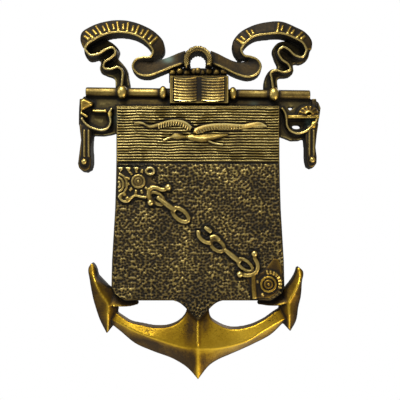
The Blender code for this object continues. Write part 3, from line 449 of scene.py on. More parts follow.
def rim(name, line, width, base=-BURY, closed=False, steps=6):
    """A raised moulding with a round crest along a line (x, z, height)."""
    line = np.array(line, float)
    if closed:
        ahead = np.roll(line, -1, axis=0)[:, :2] - np.roll(line, 1, axis=0)[:, :2]
    else:
        ahead = np.gradient(line[:, :2], axis=0)
    ahead /= np.linalg.norm(ahead, axis=1)[:, None]
    side = np.column_stack([-ahead[:, 1], ahead[:, 0]])
    half = np.broadcast_to(np.asarray(width, float), len(line)) / 2
    sections = []
    for (x, z, h), (sx, sz), r in zip(line, side, half):
        foot = r + max(0.0, h - r - base) * math.tan(DRAFT) * 0.5
        loop = [(x + sx * foot, z + sz * foot, base)]
        for step in range(steps + 1):
            turn = math.pi * step / steps
            reach = r * math.cos(turn)
            loop.append((x + sx * reach, z + sz * reach, h - r + r * math.sin(turn)))
        loop.append((x - sx * foot, z - sz * foot, base))
        sections.append(loop)
    return loft(name, sections, closed)


def ball(name, x, z, height, radius, flat=1.0, tall=1.0):
    """A ball whose middle is at a height, pressed flat towards the back or drawn out along Z if asked."""
    work = bmesh.new()
    bmesh.ops.create_uvsphere(work, u_segments=BALL_SIDES, v_segments=BALL_SIDES // 2 + 1, radius=radius)
    bmesh.ops.scale(work, vec=(1.0, flat, tall), verts=work.verts)
    bmesh.ops.translate(work, vec=(x, -height, z), verts=work.verts)
    return finished(name, work)


def arc(x, z, radius_x, radius_z, start, end, height, count, tilt=0.0):
    """Points of an elliptic arc in the plan, angles in degrees."""
    turn = np.radians(np.linspace(start, end, count))
    lean = math.radians(tilt)
    across = radius_x * np.cos(turn)
    up = radius_z * np.sin(turn)
    px = x + across * math.cos(lean) - up * math.sin(lean)
    pz = z + across * math.sin(lean) + up * math.cos(lean)
    return np.column_stack([px, pz, np.full(count, height)])


def shield_half():
    """Right half of the shield's outline, from the top corner down to the tip."""
    side = [(1.0, 0.0), (1.0, 0.30), (1.02, 0.58), (1.05, 0.77), (1.06, 0.93)]
    corner = [(1.06, 0.93), (1.03, 0.96), (0.97, 0.98), (0.90, 1.0), (0.80, 1.0)]
    ogee = [(0.30, 1.0), (0.23, 1.01), (0.17, 1.03), (0.09, 1.065), (0.0, 1.104)]
    runs = [smooth(side, 8), smooth(corner, 7)[1:], [(0.55, 1.0)], smooth(ogee, 8)]
    return np.vstack(runs) * (SHIELD_WIDTH / 2, -SHIELD_HEIGHT) + (0.0, SHIELD_TOP)


ARM_UPPER_LEFT = [
    (0.81, 0.61), (0.71, 0.55), (0.62, 0.50), (0.52, 0.48), (0.39, 0.46), (0.26, 0.47), (0.17, 0.51),
    (0.12, 0.56), (0.09, 0.63), (0.0, 0.66),
]
ARM_CREST_LEFT = [
    (0.83, 0.54), (0.71, 0.49), (0.57, 0.43), (0.41, 0.38), (0.25, 0.33), (0.12, 0.30), (0.0, 0.29),
]
ARM_LOWER_LEFT = [
    (0.79, 0.46), (0.71, 0.40), (0.59, 0.31), (0.42, 0.24), (0.22, 0.17), (0.10, 0.10), (0.0, 0.0),
]
ARM_UPPER_RIGHT = [
    (0.80, 0.63), (0.72, 0.59), (0.61, 0.52), (0.49, 0.47), (0.39, 0.45), (0.29, 0.45), (0.18, 0.49),
    (0.12, 0.53), (0.09, 0.62), (0.0, 0.66),
]
ARM_CREST_RIGHT = [
    (0.83, 0.54), (0.72, 0.49), (0.60, 0.43), (0.47, 0.36), (0.34, 0.32), (0.16, 0.29), (0.0, 0.29),
]
ARM_LOWER_RIGHT = [
    (0.79, 0.48), (0.69, 0.39), (0.51, 0.30), (0.29, 0.21), (0.19, 0.17), (0.12, 0.13), (0.0, 0.0),
]
FLUKE_OUTER_LEFT = [
    (0.98, 1.0), (1.01, 0.96), (1.0, 0.86), (0.98, 0.75), (0.95, 0.63), (0.91, 0.51), (0.85, 0.39),
]
FLUKE_CREST_LEFT = [
    (0.973, 0.985), (0.963, 0.925), (0.931, 0.832), (0.894, 0.757), (0.821, 0.656), (0.823, 0.539),
    (0.833, 0.42),
]
FLUKE_INNER_LEFT = [
    (0.965, 0.99), (0.94, 0.95), (0.92, 0.88), (0.86, 0.82), (0.81, 0.79), (0.74, 0.62), (0.79, 0.46),
]
FLUKE_OUTER_RIGHT = [
    (0.93, 0.965), (0.97, 0.93), (0.96, 0.84), (0.95, 0.72), (0.93, 0.63), (0.91, 0.50), (0.86, 0.41),
]
FLUKE_CREST_RIGHT = [
    (0.927, 0.955), (0.94, 0.894), (0.915, 0.812), (0.881, 0.749), (0.835, 0.677), (0.835, 0.564),
    (0.844, 0.438),
]
FLUKE_INNER_RIGHT = [
    (0.915, 0.955), (0.90, 0.91), (0.87, 0.86), (0.82, 0.80), (0.79, 0.77), (0.75, 0.64), (0.79, 0.48),
]
WING_EDGE_LEFT = [
    (0.905, 0.775), (0.821, 0.656), (0.77, 0.642), (0.697, 0.633), (0.62, 0.635), (0.55, 0.65),
]
PALM_TOP_LEFT = [(0.93, 0.90), (0.87, 0.84), (0.81, 0.79), (0.74, 0.78), (0.66, 0.76), (0.58, 0.72)]
WING_EDGE_RIGHT = [(0.89, 0.765), (0.835, 0.677), (0.80, 0.663), (0.756, 0.648), (0.66, 0.64), (0.55, 0.65)]
PALM_TOP_RIGHT = [(0.905, 0.885), (0.86, 0.83), (0.80, 0.78), (0.74, 0.78), (0.66, 0.76), (0.58, 0.72)]


def anchor_pieces():
    sides = (
        ("left", ANCHOR_LEFT, ARM_UPPER_LEFT, ARM_CREST_LEFT, ARM_LOWER_LEFT,
         FLUKE_OUTER_LEFT, FLUKE_CREST_LEFT, FLUKE_INNER_LEFT, PALM_TOP_LEFT, WING_EDGE_LEFT),
        ("right", ANCHOR_RIGHT, ARM_UPPER_RIGHT, ARM_CREST_RIGHT, ARM_LOWER_RIGHT,
         FLUKE_OUTER_RIGHT, FLUKE_CREST_RIGHT, FLUKE_INNER_RIGHT, PALM_TOP_RIGHT, WING_EDGE_RIGHT),
    )
    for side, frame, upper, crest, lower, outer, ridge, inner, palm, wing in sides:
        crest_heights = (ARM_ROOT, 0.5 * (ARM_ROOT + ARM_CREST), ARM_CREST, ARM_CREST, ARM_CREST)
        edge_heights = (ARM_ROOT - ARM_FALL, 0.5 * (ARM_ROOT + ARM_EDGE), ARM_EDGE, ARM_EDGE, CROWN_VALLEY)
        arm = [
            trace(lower, frame, (RIM_FOOT,), 16),
            trace(crest, frame, crest_heights, 16),
            trace(upper, frame, edge_heights, 16),
        ]
        past = (-math.copysign(ARM_LAP, frame[2]), ARM_LAP, 0.0)
        yield draped(f"arm_{side}", *(np.vstack([line, line[-1] + past]) for line in arm))
        fluke = [
            trace(outer, frame, (FLUKE_EDGE, FLUKE_EDGE, RIM_FOOT), 12),
            trace(ridge, frame, (FLUKE_EDGE, FLUKE_CREST, FLUKE_CREST, FLUKE_CREST, FLUKE_EDGE), 12),
            trace(inner, frame, (FLUKE_EDGE, FLUKE_EDGE, RIM_FOOT), 12),
        ]
        yield draped(f"fluke_{side}", *fluke)
        yield draped(f"palm_{side}", trace(palm, frame, (PALM_FOOT + ARM_FALL, PALM_FOOT), 8),
                     trace(wing, frame, (FLUKE_CREST, FLUKE_CREST - ARM_FALL, FLUKE_EDGE), 8))
    joint = SHIELD_TOP - SHIELD_HEIGHT
    low = corners([(-0.10, 0.62), (-0.06, 0.30), (0.06, 0.30), (0.10, 0.62)], ANCHOR_RIGHT)
    shank = np.vstack([low, [(low[3][0], joint), (low[0][0], joint)]])
    yield slab("shank", shank, CROWN_VALLEY - BURY)
    surface = (CROWN_VALLEY, 0.5 * (CROWN_VALLEY + ARM_CREST), ARM_CREST,
               0.5 * (ARM_CREST + RIM_FOOT), RIM_FOOT)
    falls = (0.64, 0.465, 0.29, 0.145, 0.02)
    flanks = []
    for side in (-1, 1):
        flank = [(side * half, z) for half, z in zip((0.026, 0.022, 0.020, 0.014, 0.003), falls)]
        flanks.append(trace(flank, ANCHOR_RIGHT, [height - ARM_FALL for height in surface], 10))
    rises = [height + SPINE_RISE for height in surface]
    rises[0] = ARM_EDGE + SPINE_RISE
    spine = trace([(0.0, z) for z in falls], ANCHOR_RIGHT, rises, 10)
    yield draped("crown_ridge", flanks[0], spine, flanks[1])


EDGE_LEFT = [
    (0.11, 0.42), (0.22, 0.35), (0.32, 0.28), (0.41, 0.23), (0.49, 0.26), (0.53, 0.36), (0.505, 0.45),
    (0.445, 0.485),
]
ARC_LEFT = [
    (0.445, 0.485), (0.385, 0.49), (0.363, 0.565), (0.39, 0.645), (0.48, 0.77), (0.60, 0.825), (0.73, 0.81),
    (0.84, 0.73), (0.90, 0.66), (0.918, 0.60),
]
CURL_LEFT = [
    (0.918, 0.60), (0.875, 0.52), (0.81, 0.53), (0.74, 0.60), (0.69, 0.62), (0.667, 0.565), (0.705, 0.48),
    (0.76, 0.415), (0.765, 0.34), (0.71, 0.325), (0.65, 0.355), (0.615, 0.30), (0.615, 0.20), (0.625, 0.06),
]
BAND_LEFT = [
    (0.324, 0.458), (0.272, 0.577), (0.28, 0.71), (0.346, 0.843), (0.456, 0.95), (0.60, 1.015),
    (0.75, 0.997), (0.88, 0.92), (0.95, 0.83), (0.958, 0.725), (0.938, 0.63),
]
STRIP_LEFT = [
    (0.10, 0.59), (0.18, 0.54), (0.25, 0.49), (0.33, 0.46), (0.37, 0.46), (0.42, 0.46), (0.445, 0.47),
]
TAIL_LEFT = [
    (0.94, 0.64), (0.93, 0.55), (0.89, 0.47), (0.81, 0.48), (0.80, 0.43), (0.81, 0.36), (0.80, 0.31),
    (0.76, 0.27), (0.69, 0.22), (0.67, 0.05), (0.57, 0.05), (0.575, 0.24), (0.585, 0.33), (0.63, 0.44),
    (0.66, 0.50), (0.65, 0.60), (0.70, 0.71), (0.76, 0.76), (0.85, 0.72),
]

EDGE_RIGHT = [
    (0.11, 0.42), (0.22, 0.335), (0.33, 0.245), (0.42, 0.215), (0.485, 0.265), (0.51, 0.365), (0.48, 0.455),
    (0.42, 0.495),
]
ARC_RIGHT = [
    (0.42, 0.495), (0.375, 0.51), (0.351, 0.58), (0.376, 0.665), (0.45, 0.765), (0.565, 0.803),
    (0.68, 0.81), (0.776, 0.756), (0.855, 0.675), (0.883, 0.586),
]
CURL_RIGHT = [
    (0.883, 0.586), (0.852, 0.49), (0.79, 0.51), (0.73, 0.60), (0.687, 0.63), (0.653, 0.57), (0.68, 0.46),
    (0.736, 0.385), (0.752, 0.317), (0.70, 0.28), (0.634, 0.31), (0.596, 0.289), (0.602, 0.187),
    (0.616, 0.04),
]
BAND_RIGHT = [
    (0.331, 0.458), (0.288, 0.57), (0.281, 0.695), (0.327, 0.82), (0.433, 0.932), (0.555, 0.988),
    (0.677, 0.997), (0.79, 0.924), (0.88, 0.836), (0.931, 0.704), (0.925, 0.596),
]
STRIP_RIGHT = [
    (0.10, 0.59), (0.17, 0.54), (0.24, 0.48), (0.30, 0.44), (0.34, 0.43), (0.38, 0.44), (0.42, 0.47),
]
TAIL_RIGHT = [
    (0.92, 0.60), (0.91, 0.52), (0.85, 0.43), (0.785, 0.42), (0.785, 0.31), (0.75, 0.25), (0.66, 0.22),
    (0.65, 0.02), (0.56, 0.02), (0.565, 0.26), (0.60, 0.34), (0.655, 0.36), (0.63, 0.50), (0.615, 0.60),
    (0.66, 0.72), (0.70, 0.74), (0.80, 0.70),
]


def strokes(side, band, arc_line, spots):
    """Rows of raised strokes in the place of an inscription: they aren't letters."""
    for number, spot in enumerate(spots):
        for k, reach in enumerate(STROKE_REACH):
            at = spot + STROKE_PITCH * k
            low, high = band_point(band, at), band_point(arc_line, at)
            ends = [low + (high - low) * share + (0.0, 0.0, STROKE_RISE) for share in reach]
            name = f"stroke_{side}_{number}_{k}"
            yield rim(name, ends, STROKE_WIDTH, base=BAND_HEIGHT - 2 * BURY, steps=2)


def band_point(line, share):
    """The point of a line at a share of its points."""
    at = share * (len(line) - 1)
    return np.array([np.interp(at, np.arange(len(line)), line[:, axis]) for axis in range(3)])


def ribbon_pieces():
    sides = (
        ("left", RIBBON_LEFT, EDGE_LEFT, ARC_LEFT, CURL_LEFT, BAND_LEFT, STRIP_LEFT, TAIL_LEFT,
         (0.22, 0.31, 0.40, 0.49, 0.58, 0.67, 0.76, 0.85)),
        ("right", RIBBON_RIGHT, EDGE_RIGHT, ARC_RIGHT, CURL_RIGHT, BAND_RIGHT, STRIP_RIGHT, TAIL_RIGHT,
         (0.20, 0.31, 0.60, 0.71, 0.82)),
    )
    for side, frame, edge, arch, curl, band, strip, tail, spots in sides:
        fold = trace(edge, frame, (RIBBON_FOOT, RIBBON_FOLD), 16)
        arch_line = trace(arch, frame, (RIBBON_FOLD, RIBBON_CREST, RIBBON_CREST, RIBBON_FOLD), 26)
        curl_line = trace(curl, frame, (RIBBON_FOLD, RIBBON_FOLD, RIBBON_FOLD - RIBBON_FALL, CURL_END), 34)
        yield rim(f"edge_{side}", np.vstack([fold, arch_line[1:], curl_line[1:]]), 2 * RIBBON_EDGE)
        band_line = trace(band, frame, (BAND_HEIGHT, BAND_HEIGHT, BAND_END), 26)
        lip = (0.0, 0.0, RIBBON_LIP)
        yield draped(f"arch_{side}", band_line, arch_line - lip)
        yield draped(f"strip_{side}", trace(strip, frame, (BAND_END, STRIP_HEIGHT), 16), fold - lip)
        yield slab(f"tail_{side}", trace(tail, frame, (TAIL_FOOT,), 44)[:, :2], TAIL_FOOT)
        yield from strokes(side, band_line, arch_line, spots)


def eye_pieces():
    count = 3 * ROPE_STRANDS + 1
    rope = arc(0.0, EYE_MIDDLE, EYE_RADIUS, EYE_RADIUS, *ROPE_ENDS, EYE_HEIGHT, count)
    swell = 1.0 + ROPE_SWELL * np.cos(np.arange(count) * math.tau / 3)
    yield rim("rope", rope, 2 * EYE_ROPE * swell)
    foot = BOOK_TOP - SILL_LAP
    fall = EYE_SILL - SILL_FALL
    sill = [(-EYE_RADIUS, EYE_SILL), (EYE_RADIUS, EYE_SILL), (SILL_REACH, fall), (SILL_REACH, foot),
            (-SILL_REACH, foot), (-SILL_REACH, fall)]
    yield slab("sill", sill, SILL_HEIGHT)
    for number in range(KNOBS):
        x = KNOB_PITCH * (number - (KNOBS - 1) / 2)
        z = BOOK_TOP + KNOB_RADIUS + KNOB_STEP * (number % 2)
        yield ball(f"knob_{number}", x, z, SILL_HEIGHT, KNOB_RADIUS)
    yield ball("boss", 0.0, EYE_SILL - KNOB_RADIUS, SILL_HEIGHT + KNOB_STEP, KNOB_RADIUS)


def stock_z(x):
    """The stock runs a little downhill to the right."""
    return STOCK_Z - STOCK_TILT * x / STOCK_REACH


def stock_pieces():
    xs = (-STOCK_REACH, 0.0, STOCK_REACH)
    bar = [(x, stock_z(x), STOCK_HEIGHT) for x in xs]
    yield rim("stock", bar, 2 * STOCK_RADIUS, steps=6)
    low = SHIELD_TOP - WEB_LAP
    web = [(-WEB_REACH, STOCK_Z), (-WEB_REACH, low), (WEB_REACH, low), (WEB_REACH, STOCK_Z)]
    yield slab("stock_web", web, STOCK_WEB)
    middle = STOCK_HEIGHT - BURY
    for side in (-1, 1):
        x = side * KNOT_X
        yield ball(f"knot_{side}", x, stock_z(x), middle, KNOT_WIDTH / 2, tall=KNOT_LENGTH / KNOT_WIDTH)
        x = side * COLLAR_X
        yield ball(f"collar_{side}", x, stock_z(x), middle, COLLAR_WIDTH / 2, flat=COLLAR_SWELL,
                   tall=COLLAR_LENGTH / COLLAR_WIDTH)


def page_height(share):
    """Height across a page, from the spine to its outer edge."""
    low = BOOK_COVER - BURY
    return low + (PAGE_CREST - low) * math.sin(math.pi * (PAGE_START + PAGE_SPAN * share))**PAGE_SWELL


def book_pieces():
    left, right = BOOK_X - BOOK_WIDTH / 2, BOOK_X + BOOK_WIDTH / 2
    cover = [(left, BOOK_BOTTOM), (right, BOOK_BOTTOM), (right, BOOK_TOP), (left, BOOK_TOP)]
    yield slab("cover", cover, BOOK_COVER, edge=COVER_ROUND)
    top, bottom = BOOK_TOP - PAGE_MARGIN, BOOK_BOTTOM + 2 * PAGE_MARGIN
    within = BOOK_COVER - 2 * BURY
    for side in (-1, 1):
        sections = []
        for step in range(5):
            share = step / 4
            x = BOOK_X + side * (SPINE_HALF + PAGE_WIDTH * share)
            sag = PAGE_SAG * math.sin(math.pi * share)
            h = page_height(share)
            loop = [(x, top - sag, within)]
            for line in range(2 * PAGE_LINES + 1):
                z = top - sag + (bottom - top) * (line + 0.5) / (2 * PAGE_LINES + 1)
                loop.append((x, z, h - (LINE_RISE if line % 2 else 0.0)))
            loop.append((x, bottom - sag, within))
            sections.append(loop)
        yield loft(f"page_{side}", sections)
        x = BOOK_X + side * PAGE_EDGE
        ends = [(x, top, BOOK_COVER + LINE_RISE), (x, bottom, BOOK_COVER + LINE_RISE)]
        yield rim(f"page_edge_{side}", ends, PAGE_EDGE_WIDTH)


WEB_LEFT = [
    (0.94, -0.04), (0.97, -0.12), (0.97, -0.49), (0.91, -0.55), (0.86, -0.585), (0.78, -0.59),
    (0.71, -0.57), (0.64, -0.53), (0.64, 0.0),
]
WEB_RIGHT = [
    (0.94, -0.08), (0.99, -0.12), (1.01, -0.20), (1.0, -0.32), (0.98, -0.50), (0.92, -0.60), (0.83, -0.655),
    (0.77, -0.66), (0.71, -0.62), (0.64, -0.58), (0.64, 0.0),
]
GRIP_LEFT = [
    (0.97, -0.44), (0.955, -0.66), (0.97, -0.86), (0.98, -0.992), (0.971, -1.051), (0.947, -1.091),
    (0.914, -1.099), (0.884, -1.071), (0.873, -1.02), (0.87, -0.94), (0.875, -0.76), (0.87, -0.56),
    (0.88, -0.46),
]
GRIP_RIGHT = [
    (0.985, -0.42), (0.97, -0.59), (0.96, -0.76), (0.97, -0.90), (0.968, -0.985), (0.948, -1.035),
    (0.922, -1.051), (0.90, -1.03), (0.891, -0.98), (0.885, -0.90), (0.885, -0.76), (0.875, -0.60),
    (0.89, -0.46),
]
LOOP_LEFT = [
    (0.949, -0.351), (0.925, -0.415), (0.886, -0.472), (0.837, -0.507), (0.781, -0.524), (0.742, -0.503),
    (0.717, -0.451), (0.711, -0.384), (0.72, -0.322), (0.715, -0.259), (0.699, -0.217),
]
LOOP_RIGHT = [
    (0.682, -0.21), (0.71, -0.287), (0.72, -0.37), (0.724, -0.454), (0.745, -0.52), (0.781, -0.557),
    (0.822, -0.57), (0.871, -0.545), (0.91, -0.5), (0.95, -0.437), (0.97, -0.37),
]
BOSS_LEFT = [
    (0.962, -0.10), (0.93, -0.075), (0.856, -0.137), (0.86, -0.179), (0.909, -0.221), (0.955, -0.265),
]


def hilt_pieces():
    sides = (
        ("left", HILT_LEFT, WEB_LEFT, GRIP_LEFT, LOOP_LEFT,
         (0.925, -0.965), (0.925, 0.889), (0.717, -0.30)),
        ("right", HILT_RIGHT, WEB_RIGHT, GRIP_RIGHT, LOOP_RIGHT,
         (0.93, -0.94), (0.943, 0.908), (0.94, -0.45)),
    )
    for side, frame, web, grip, loop, pommel, grooves, pad in sides:
        yield slab(f"web_{side}", corners(web, frame), WEB_HEIGHT)
        yield slab(f"grip_{side}", corners(grip, frame), GRIP_HEIGHT, edge=GRIP_ROUND)
        yield rim(f"loop_{side}", trace(loop, frame, (HILT_RIM,), 18), HILT_RIM_WIDTH)
        for number, x in enumerate(grooves):
            line = trace([(x, -0.52), (x, -0.70), (x, -0.90)], frame, (HILT_RIM,), 4)
            yield rim(f"grip_line_{side}_{number}", line, GRIP_LINE_WIDTH)
        x, z = corners([pommel], frame)[0]
        yield ball(f"pommel_{side}", x, z, HILT_RIM - POMMEL_SINK * POMMEL_RADIUS, POMMEL_RADIUS)
        x, z = corners([pad], frame)[0]
        yield ball(f"pad_{side}", x, z, HILT_RIM - PAD_RADIUS, PAD_RADIUS, tall=PAD_TALL)
        outside = trace([(0.95, -0.08), (0.955, -0.26), (0.955, -0.44)], frame, (GUARD_FOOT, GUARD_HEIGHT), 5)
        yield rim(f"guard_{side}", outside, GUARD_WIDTH)
    yield from guard_details()


def guard_details():
    """What differs between the guards: a boss and bars to the left, a fluted fan and a ledge to the right."""
    rising = (HILT_RIM - BURY, HILT_RIM)
    yield slab("boss_left", corners(BOSS_LEFT, HILT_LEFT), HILT_RIM, edge=BOSS_ROUND)
    bar = trace([(0.862, -0.252), (0.813, -0.256), (0.745, -0.259)], HILT_LEFT, rising, 3)
    yield rim("guard_bar", bar, GUARD_BAR_WIDTH)
    stay = trace([(0.955, -0.28), (0.93, -0.305), (0.90, -0.34)], HILT_LEFT, (HILT_RIM,), 3)
    yield rim("guard_stay", stay, GUARD_BAR_WIDTH)
    ledge = trace([(0.73, -0.335), (0.86, -0.335), (0.985, -0.335)], HILT_RIGHT, rising, 4)
    yield rim("guard_ledge", ledge, LEDGE_WIDTH)
    x, z = corners([(0.903, -0.315)], HILT_RIGHT)[0]
    turns = 2 * FAN_FLUTES + 1
    hub = arc(x, z, FAN_HUB, FAN_HUB, *FAN_ENDS, FAN_CREST, turns)
    edge = arc(x, z, FAN_RADIUS, FAN_SQUAT * FAN_RADIUS, *FAN_ENDS, FAN_CREST - FAN_FALL, turns)
    edge[1::2, 2] += FAN_FLUTING
    yield draped("fan", edge, hub)


BRACKET_UPPER = [
    (-0.0172, 0.0264), (-0.0194, 0.025), (-0.0217, 0.0252), (-0.0243, 0.0262), (-0.0266, 0.0262),
    (-0.0282, 0.0248), (-0.0286, 0.0225), (-0.0283, 0.0202), (-0.0275, 0.0175),
]
BRACKET_LOWER = [
    (0.0328, -0.0122), (0.033, -0.0149), (0.0343, -0.0173), (0.0348, -0.0199), (0.034, -0.0225),
    (0.0316, -0.0243), (0.0285, -0.0247), (0.0243, -0.0241),
]
HOOK = [(0.0004, 0.0013), (0.0003, -0.0013), (0.0018, -0.0036), (0.0044, -0.0054), (0.0073, -0.0061)]
# Bars by name, start, end and stoutness
CHAIN_BARS = (
    ("bar_upper", (-0.0237, 0.0207), (-0.0130, 0.0126), 2.3),
    ("bar_broken", (0.0038, 0.0034), (0.0079, 0.0003), 2.0),
    ("bar_lower", (0.0154, -0.0097), (0.0247, -0.0173), 2.4),
)
# Rings by name, x, z, half length, half width and stoutness
CHAIN_RINGS = (
    ("link_first", -0.0237, 0.0199, 0.0050, 0.0027, 1.5),
    ("link_third", -0.0101, 0.0104, 0.0056, 0.0029, 2.1),
    ("link_torn", 0.0113, -0.0074, 0.0046, 0.0028, 1.9),
    ("link_last", 0.0273, -0.0187, 0.0053, 0.0025, 1.5),
)


def chain_pieces():
    for name, path in (("bracket_upper", BRACKET_UPPER), ("bracket_lower", BRACKET_LOWER)):
        line = trace(path, FIGURES, (LINK_HEIGHT,), 13)
        yield rim(name, line, BRACKET_WIDTH, base=FACE_BASE)
        for end in (0, -1):
            x, z = line[end][:2]
            yield ball(f"{name}_ball{end}", x, z, LINK_HEIGHT - BALL_SINK * BALL_RADIUS, BALL_RADIUS)
    yield rim("hook", trace(HOOK, FIGURES, (LINK_HEIGHT,), 9), BRACKET_WIDTH, base=FACE_BASE)
    for name, start, end, stout in CHAIN_BARS:
        middle = tuple((a + b) / 2 for a, b in zip(start, end))
        line = trace([start, middle, end], FIGURES, (LINK_HEIGHT, LINK_HEIGHT + LINK_SWELL, LINK_HEIGHT), 5)
        width = stout * LINK_WIRE * np.interp(np.linspace(0, 1, len(line)), (0, 0.5, 1), BAR_TAPER)
        yield rim(name, line, width, base=FACE_BASE)
    for name, x, z, long, short, stout in CHAIN_RINGS:
        oval = arc(x, FIGURE_Z + z, long, short, 0, RING_END, LINK_HEIGHT - LINK_SWELL, 12, tilt=LINK_TILT)
        yield rim(name, oval, stout * LINK_WIRE, base=FACE_BASE, closed=True)
    crescent = trace([(0.0070, -0.0030), (0.0098, -0.0021), (0.0125, -0.0044)], FIGURES, (LINK_HEIGHT,), 5)
    yield rim("bar_crescent", crescent, CRESCENT_STOUT * LINK_WIRE, base=FACE_BASE)
    falling = (LINK_HEIGHT, CORNER_HEIGHT)
    stem = trace([(0.0322, -0.0250), (0.0324, -0.0315), (0.0330, -0.0383)], FIGURES, falling, 4)
    yield rim("stem", stem, STEM_WIDTH, base=FACE_BASE)


PLATE_UPPER = [
    (-0.0472, 0.0383), (-0.0296, 0.0383), (-0.0249, 0.0379), (-0.0246, 0.0347), (-0.0267, 0.0312),
    (-0.0232, 0.0289), (-0.0255, 0.026), (-0.0278, 0.0231), (-0.0281, 0.0196), (-0.0319, 0.0193),
    (-0.0365, 0.0205), (-0.0389, 0.0187), (-0.0412, 0.0164), (-0.0447, 0.0175), (-0.0472, 0.0205),
]
PLATE_LOWER = [
    (0.0273, -0.0257), (0.0308, -0.0231), (0.0372, -0.0225), (0.0418, -0.017), (0.0436, -0.0144),
    (0.0471, -0.015), (0.0490, -0.0193), (0.0496, -0.0275), (0.0480, -0.0335), (0.0448, -0.0366),
    (0.0418, -0.0385), (0.031, -0.0385), (0.0297, -0.0315),
]
SCROLL = [
    (-0.0460, 0.0213), (-0.0443, 0.0190), (-0.0412, 0.0180), (-0.0389, 0.0200), (-0.0366, 0.0216),
    (-0.0331, 0.0209), (-0.0300, 0.0206),
]
ROSETTE_UPPER = (-0.0346, 0.0298, 0.0036)
ROSETTE_LOWER = (0.0409, -0.0299, 0.0043)
ROSETTE_KNOB = 0.0010
ROSETTE_RINGS = (1.0, 0.5)
KNOB_SINK = 0.6
LOOP_OVAL = (-0.0467, 0.0280)
LOOP_OVAL_RADII = (0.0016, 0.0036, 0.0056)
LOOP_OVAL_ENDS = (-80, 80)
LOOP_OVAL_TALL = 1.15
LOOP_DROP = (-0.0278, 0.0358, 0.0024, 0.0019)
TEETH = (-0.0448, -0.0404, -0.0358)
TOOTH_HALF = 0.0018
TOOTH_FOOT = 0.0380
TOOTH_TIP = 0.0354
SCALLOPS = 8
SCALLOP_START = -15
SCALLOP_SPREAD = 110
SCALLOP_RADII = (0.0058, 0.0070, 0.0080)
LOBES = 9
LOBE_START = 70
LOBE_SPREAD = 250
LOBE_RADII = (0.0052, 0.0063, 0.0074)
LOBE_WIDTH = 0.0017
LUMP_SINK = 0.2
# Lumps by x, z and radius
CORNER_LUMPS = ((-0.0428, 0.0225, 0.0016), (-0.0452, 0.0209, 0.0015), (-0.0409, 0.0198, 0.0016),
                (0.0452, -0.0240, 0.0012), (0.0375, -0.0360, 0.0011), (0.0345, -0.0285, 0.0011))


def spokes(name, centre, radii, start, spread, count, width, steps):
    """Short raised ribs that fan out round a place."""
    x, z = centre[:2]
    for number, turn in enumerate(np.radians(np.linspace(start, start + spread, count))):
        ends = [(x + r * math.cos(turn), z + r * math.sin(turn)) for r in radii]
        line = trace(ends, FIGURES, (CORNER_HEIGHT,), 3)
        yield rim(f"{name}_{number}", line, width, base=FACE_BASE, steps=steps)


def corner_pieces():
    """The lobed figures in two corners of the lower field."""
    for name, outline in (("plate_upper", PLATE_UPPER), ("plate_lower", PLATE_LOWER)):
        yield slab(name, corners(outline, FIGURES), PLATE_HEIGHT, base=FACE_BASE, edge=PLATE_ROUND)
    for name, (x, z, outer) in (("rosette_upper", ROSETTE_UPPER), ("rosette_lower", ROSETTE_LOWER)):
        for ring, share in enumerate(ROSETTE_RINGS):
            radius = outer * share
            circle = arc(x, FIGURE_Z + z, radius, radius, 0, RING_END, CORNER_HEIGHT, 12)
            yield rim(f"{name}_{ring}", circle, CORNER_WIRE, base=FACE_BASE, closed=True)
        yield ball(f"{name}_knob", x, FIGURE_Z + z, CORNER_HEIGHT - KNOB_SINK * ROSETTE_KNOB, ROSETTE_KNOB)
    for number, radius in enumerate(LOOP_OVAL_RADII):
        x, z = LOOP_OVAL
        half = arc(x, FIGURE_Z + z, radius, LOOP_OVAL_TALL * radius, *LOOP_OVAL_ENDS, CORNER_HEIGHT, 6)
        yield rim(f"loop_oval_{number}", half, CORNER_WIRE, base=FACE_BASE)
    x, z, wide, tall = LOOP_DROP
    drop = arc(x, FIGURE_Z + z, wide, tall, 0, RING_END, CORNER_HEIGHT, 12)
    yield rim("loop_drop", drop, CORNER_WIRE, base=FACE_BASE, closed=True)
    yield rim("scroll", trace(SCROLL, FIGURES, (CORNER_HEIGHT,), 13), CORNER_WIRE, base=FACE_BASE)
    for number, x in enumerate(TEETH):
        tooth = [(x - TOOTH_HALF, TOOTH_FOOT), (x + TOOTH_HALF, TOOTH_FOOT), (x, TOOTH_TIP)]
        yield slab(f"tooth_{number}", corners(tooth, FIGURES), CORNER_HEIGHT, base=FACE_BASE)
    yield from spokes("scallop", ROSETTE_LOWER, SCALLOP_RADII, SCALLOP_START, SCALLOP_SPREAD, SCALLOPS,
                      CORNER_WIRE, steps=2)


def corner_lumps():
    """The lumps and the lobes that fill the corner figures round their rings."""
    for number, (x, z, radius) in enumerate(CORNER_LUMPS):
        yield ball(f"lump_{number}", x, FIGURE_Z + z, PLATE_HEIGHT - LUMP_SINK * radius, radius)
    yield from spokes("lump_lobe", ROSETTE_UPPER, LOBE_RADII, LOBE_START, LOBE_SPREAD, LOBES,
                      LOBE_WIDTH, steps=4)


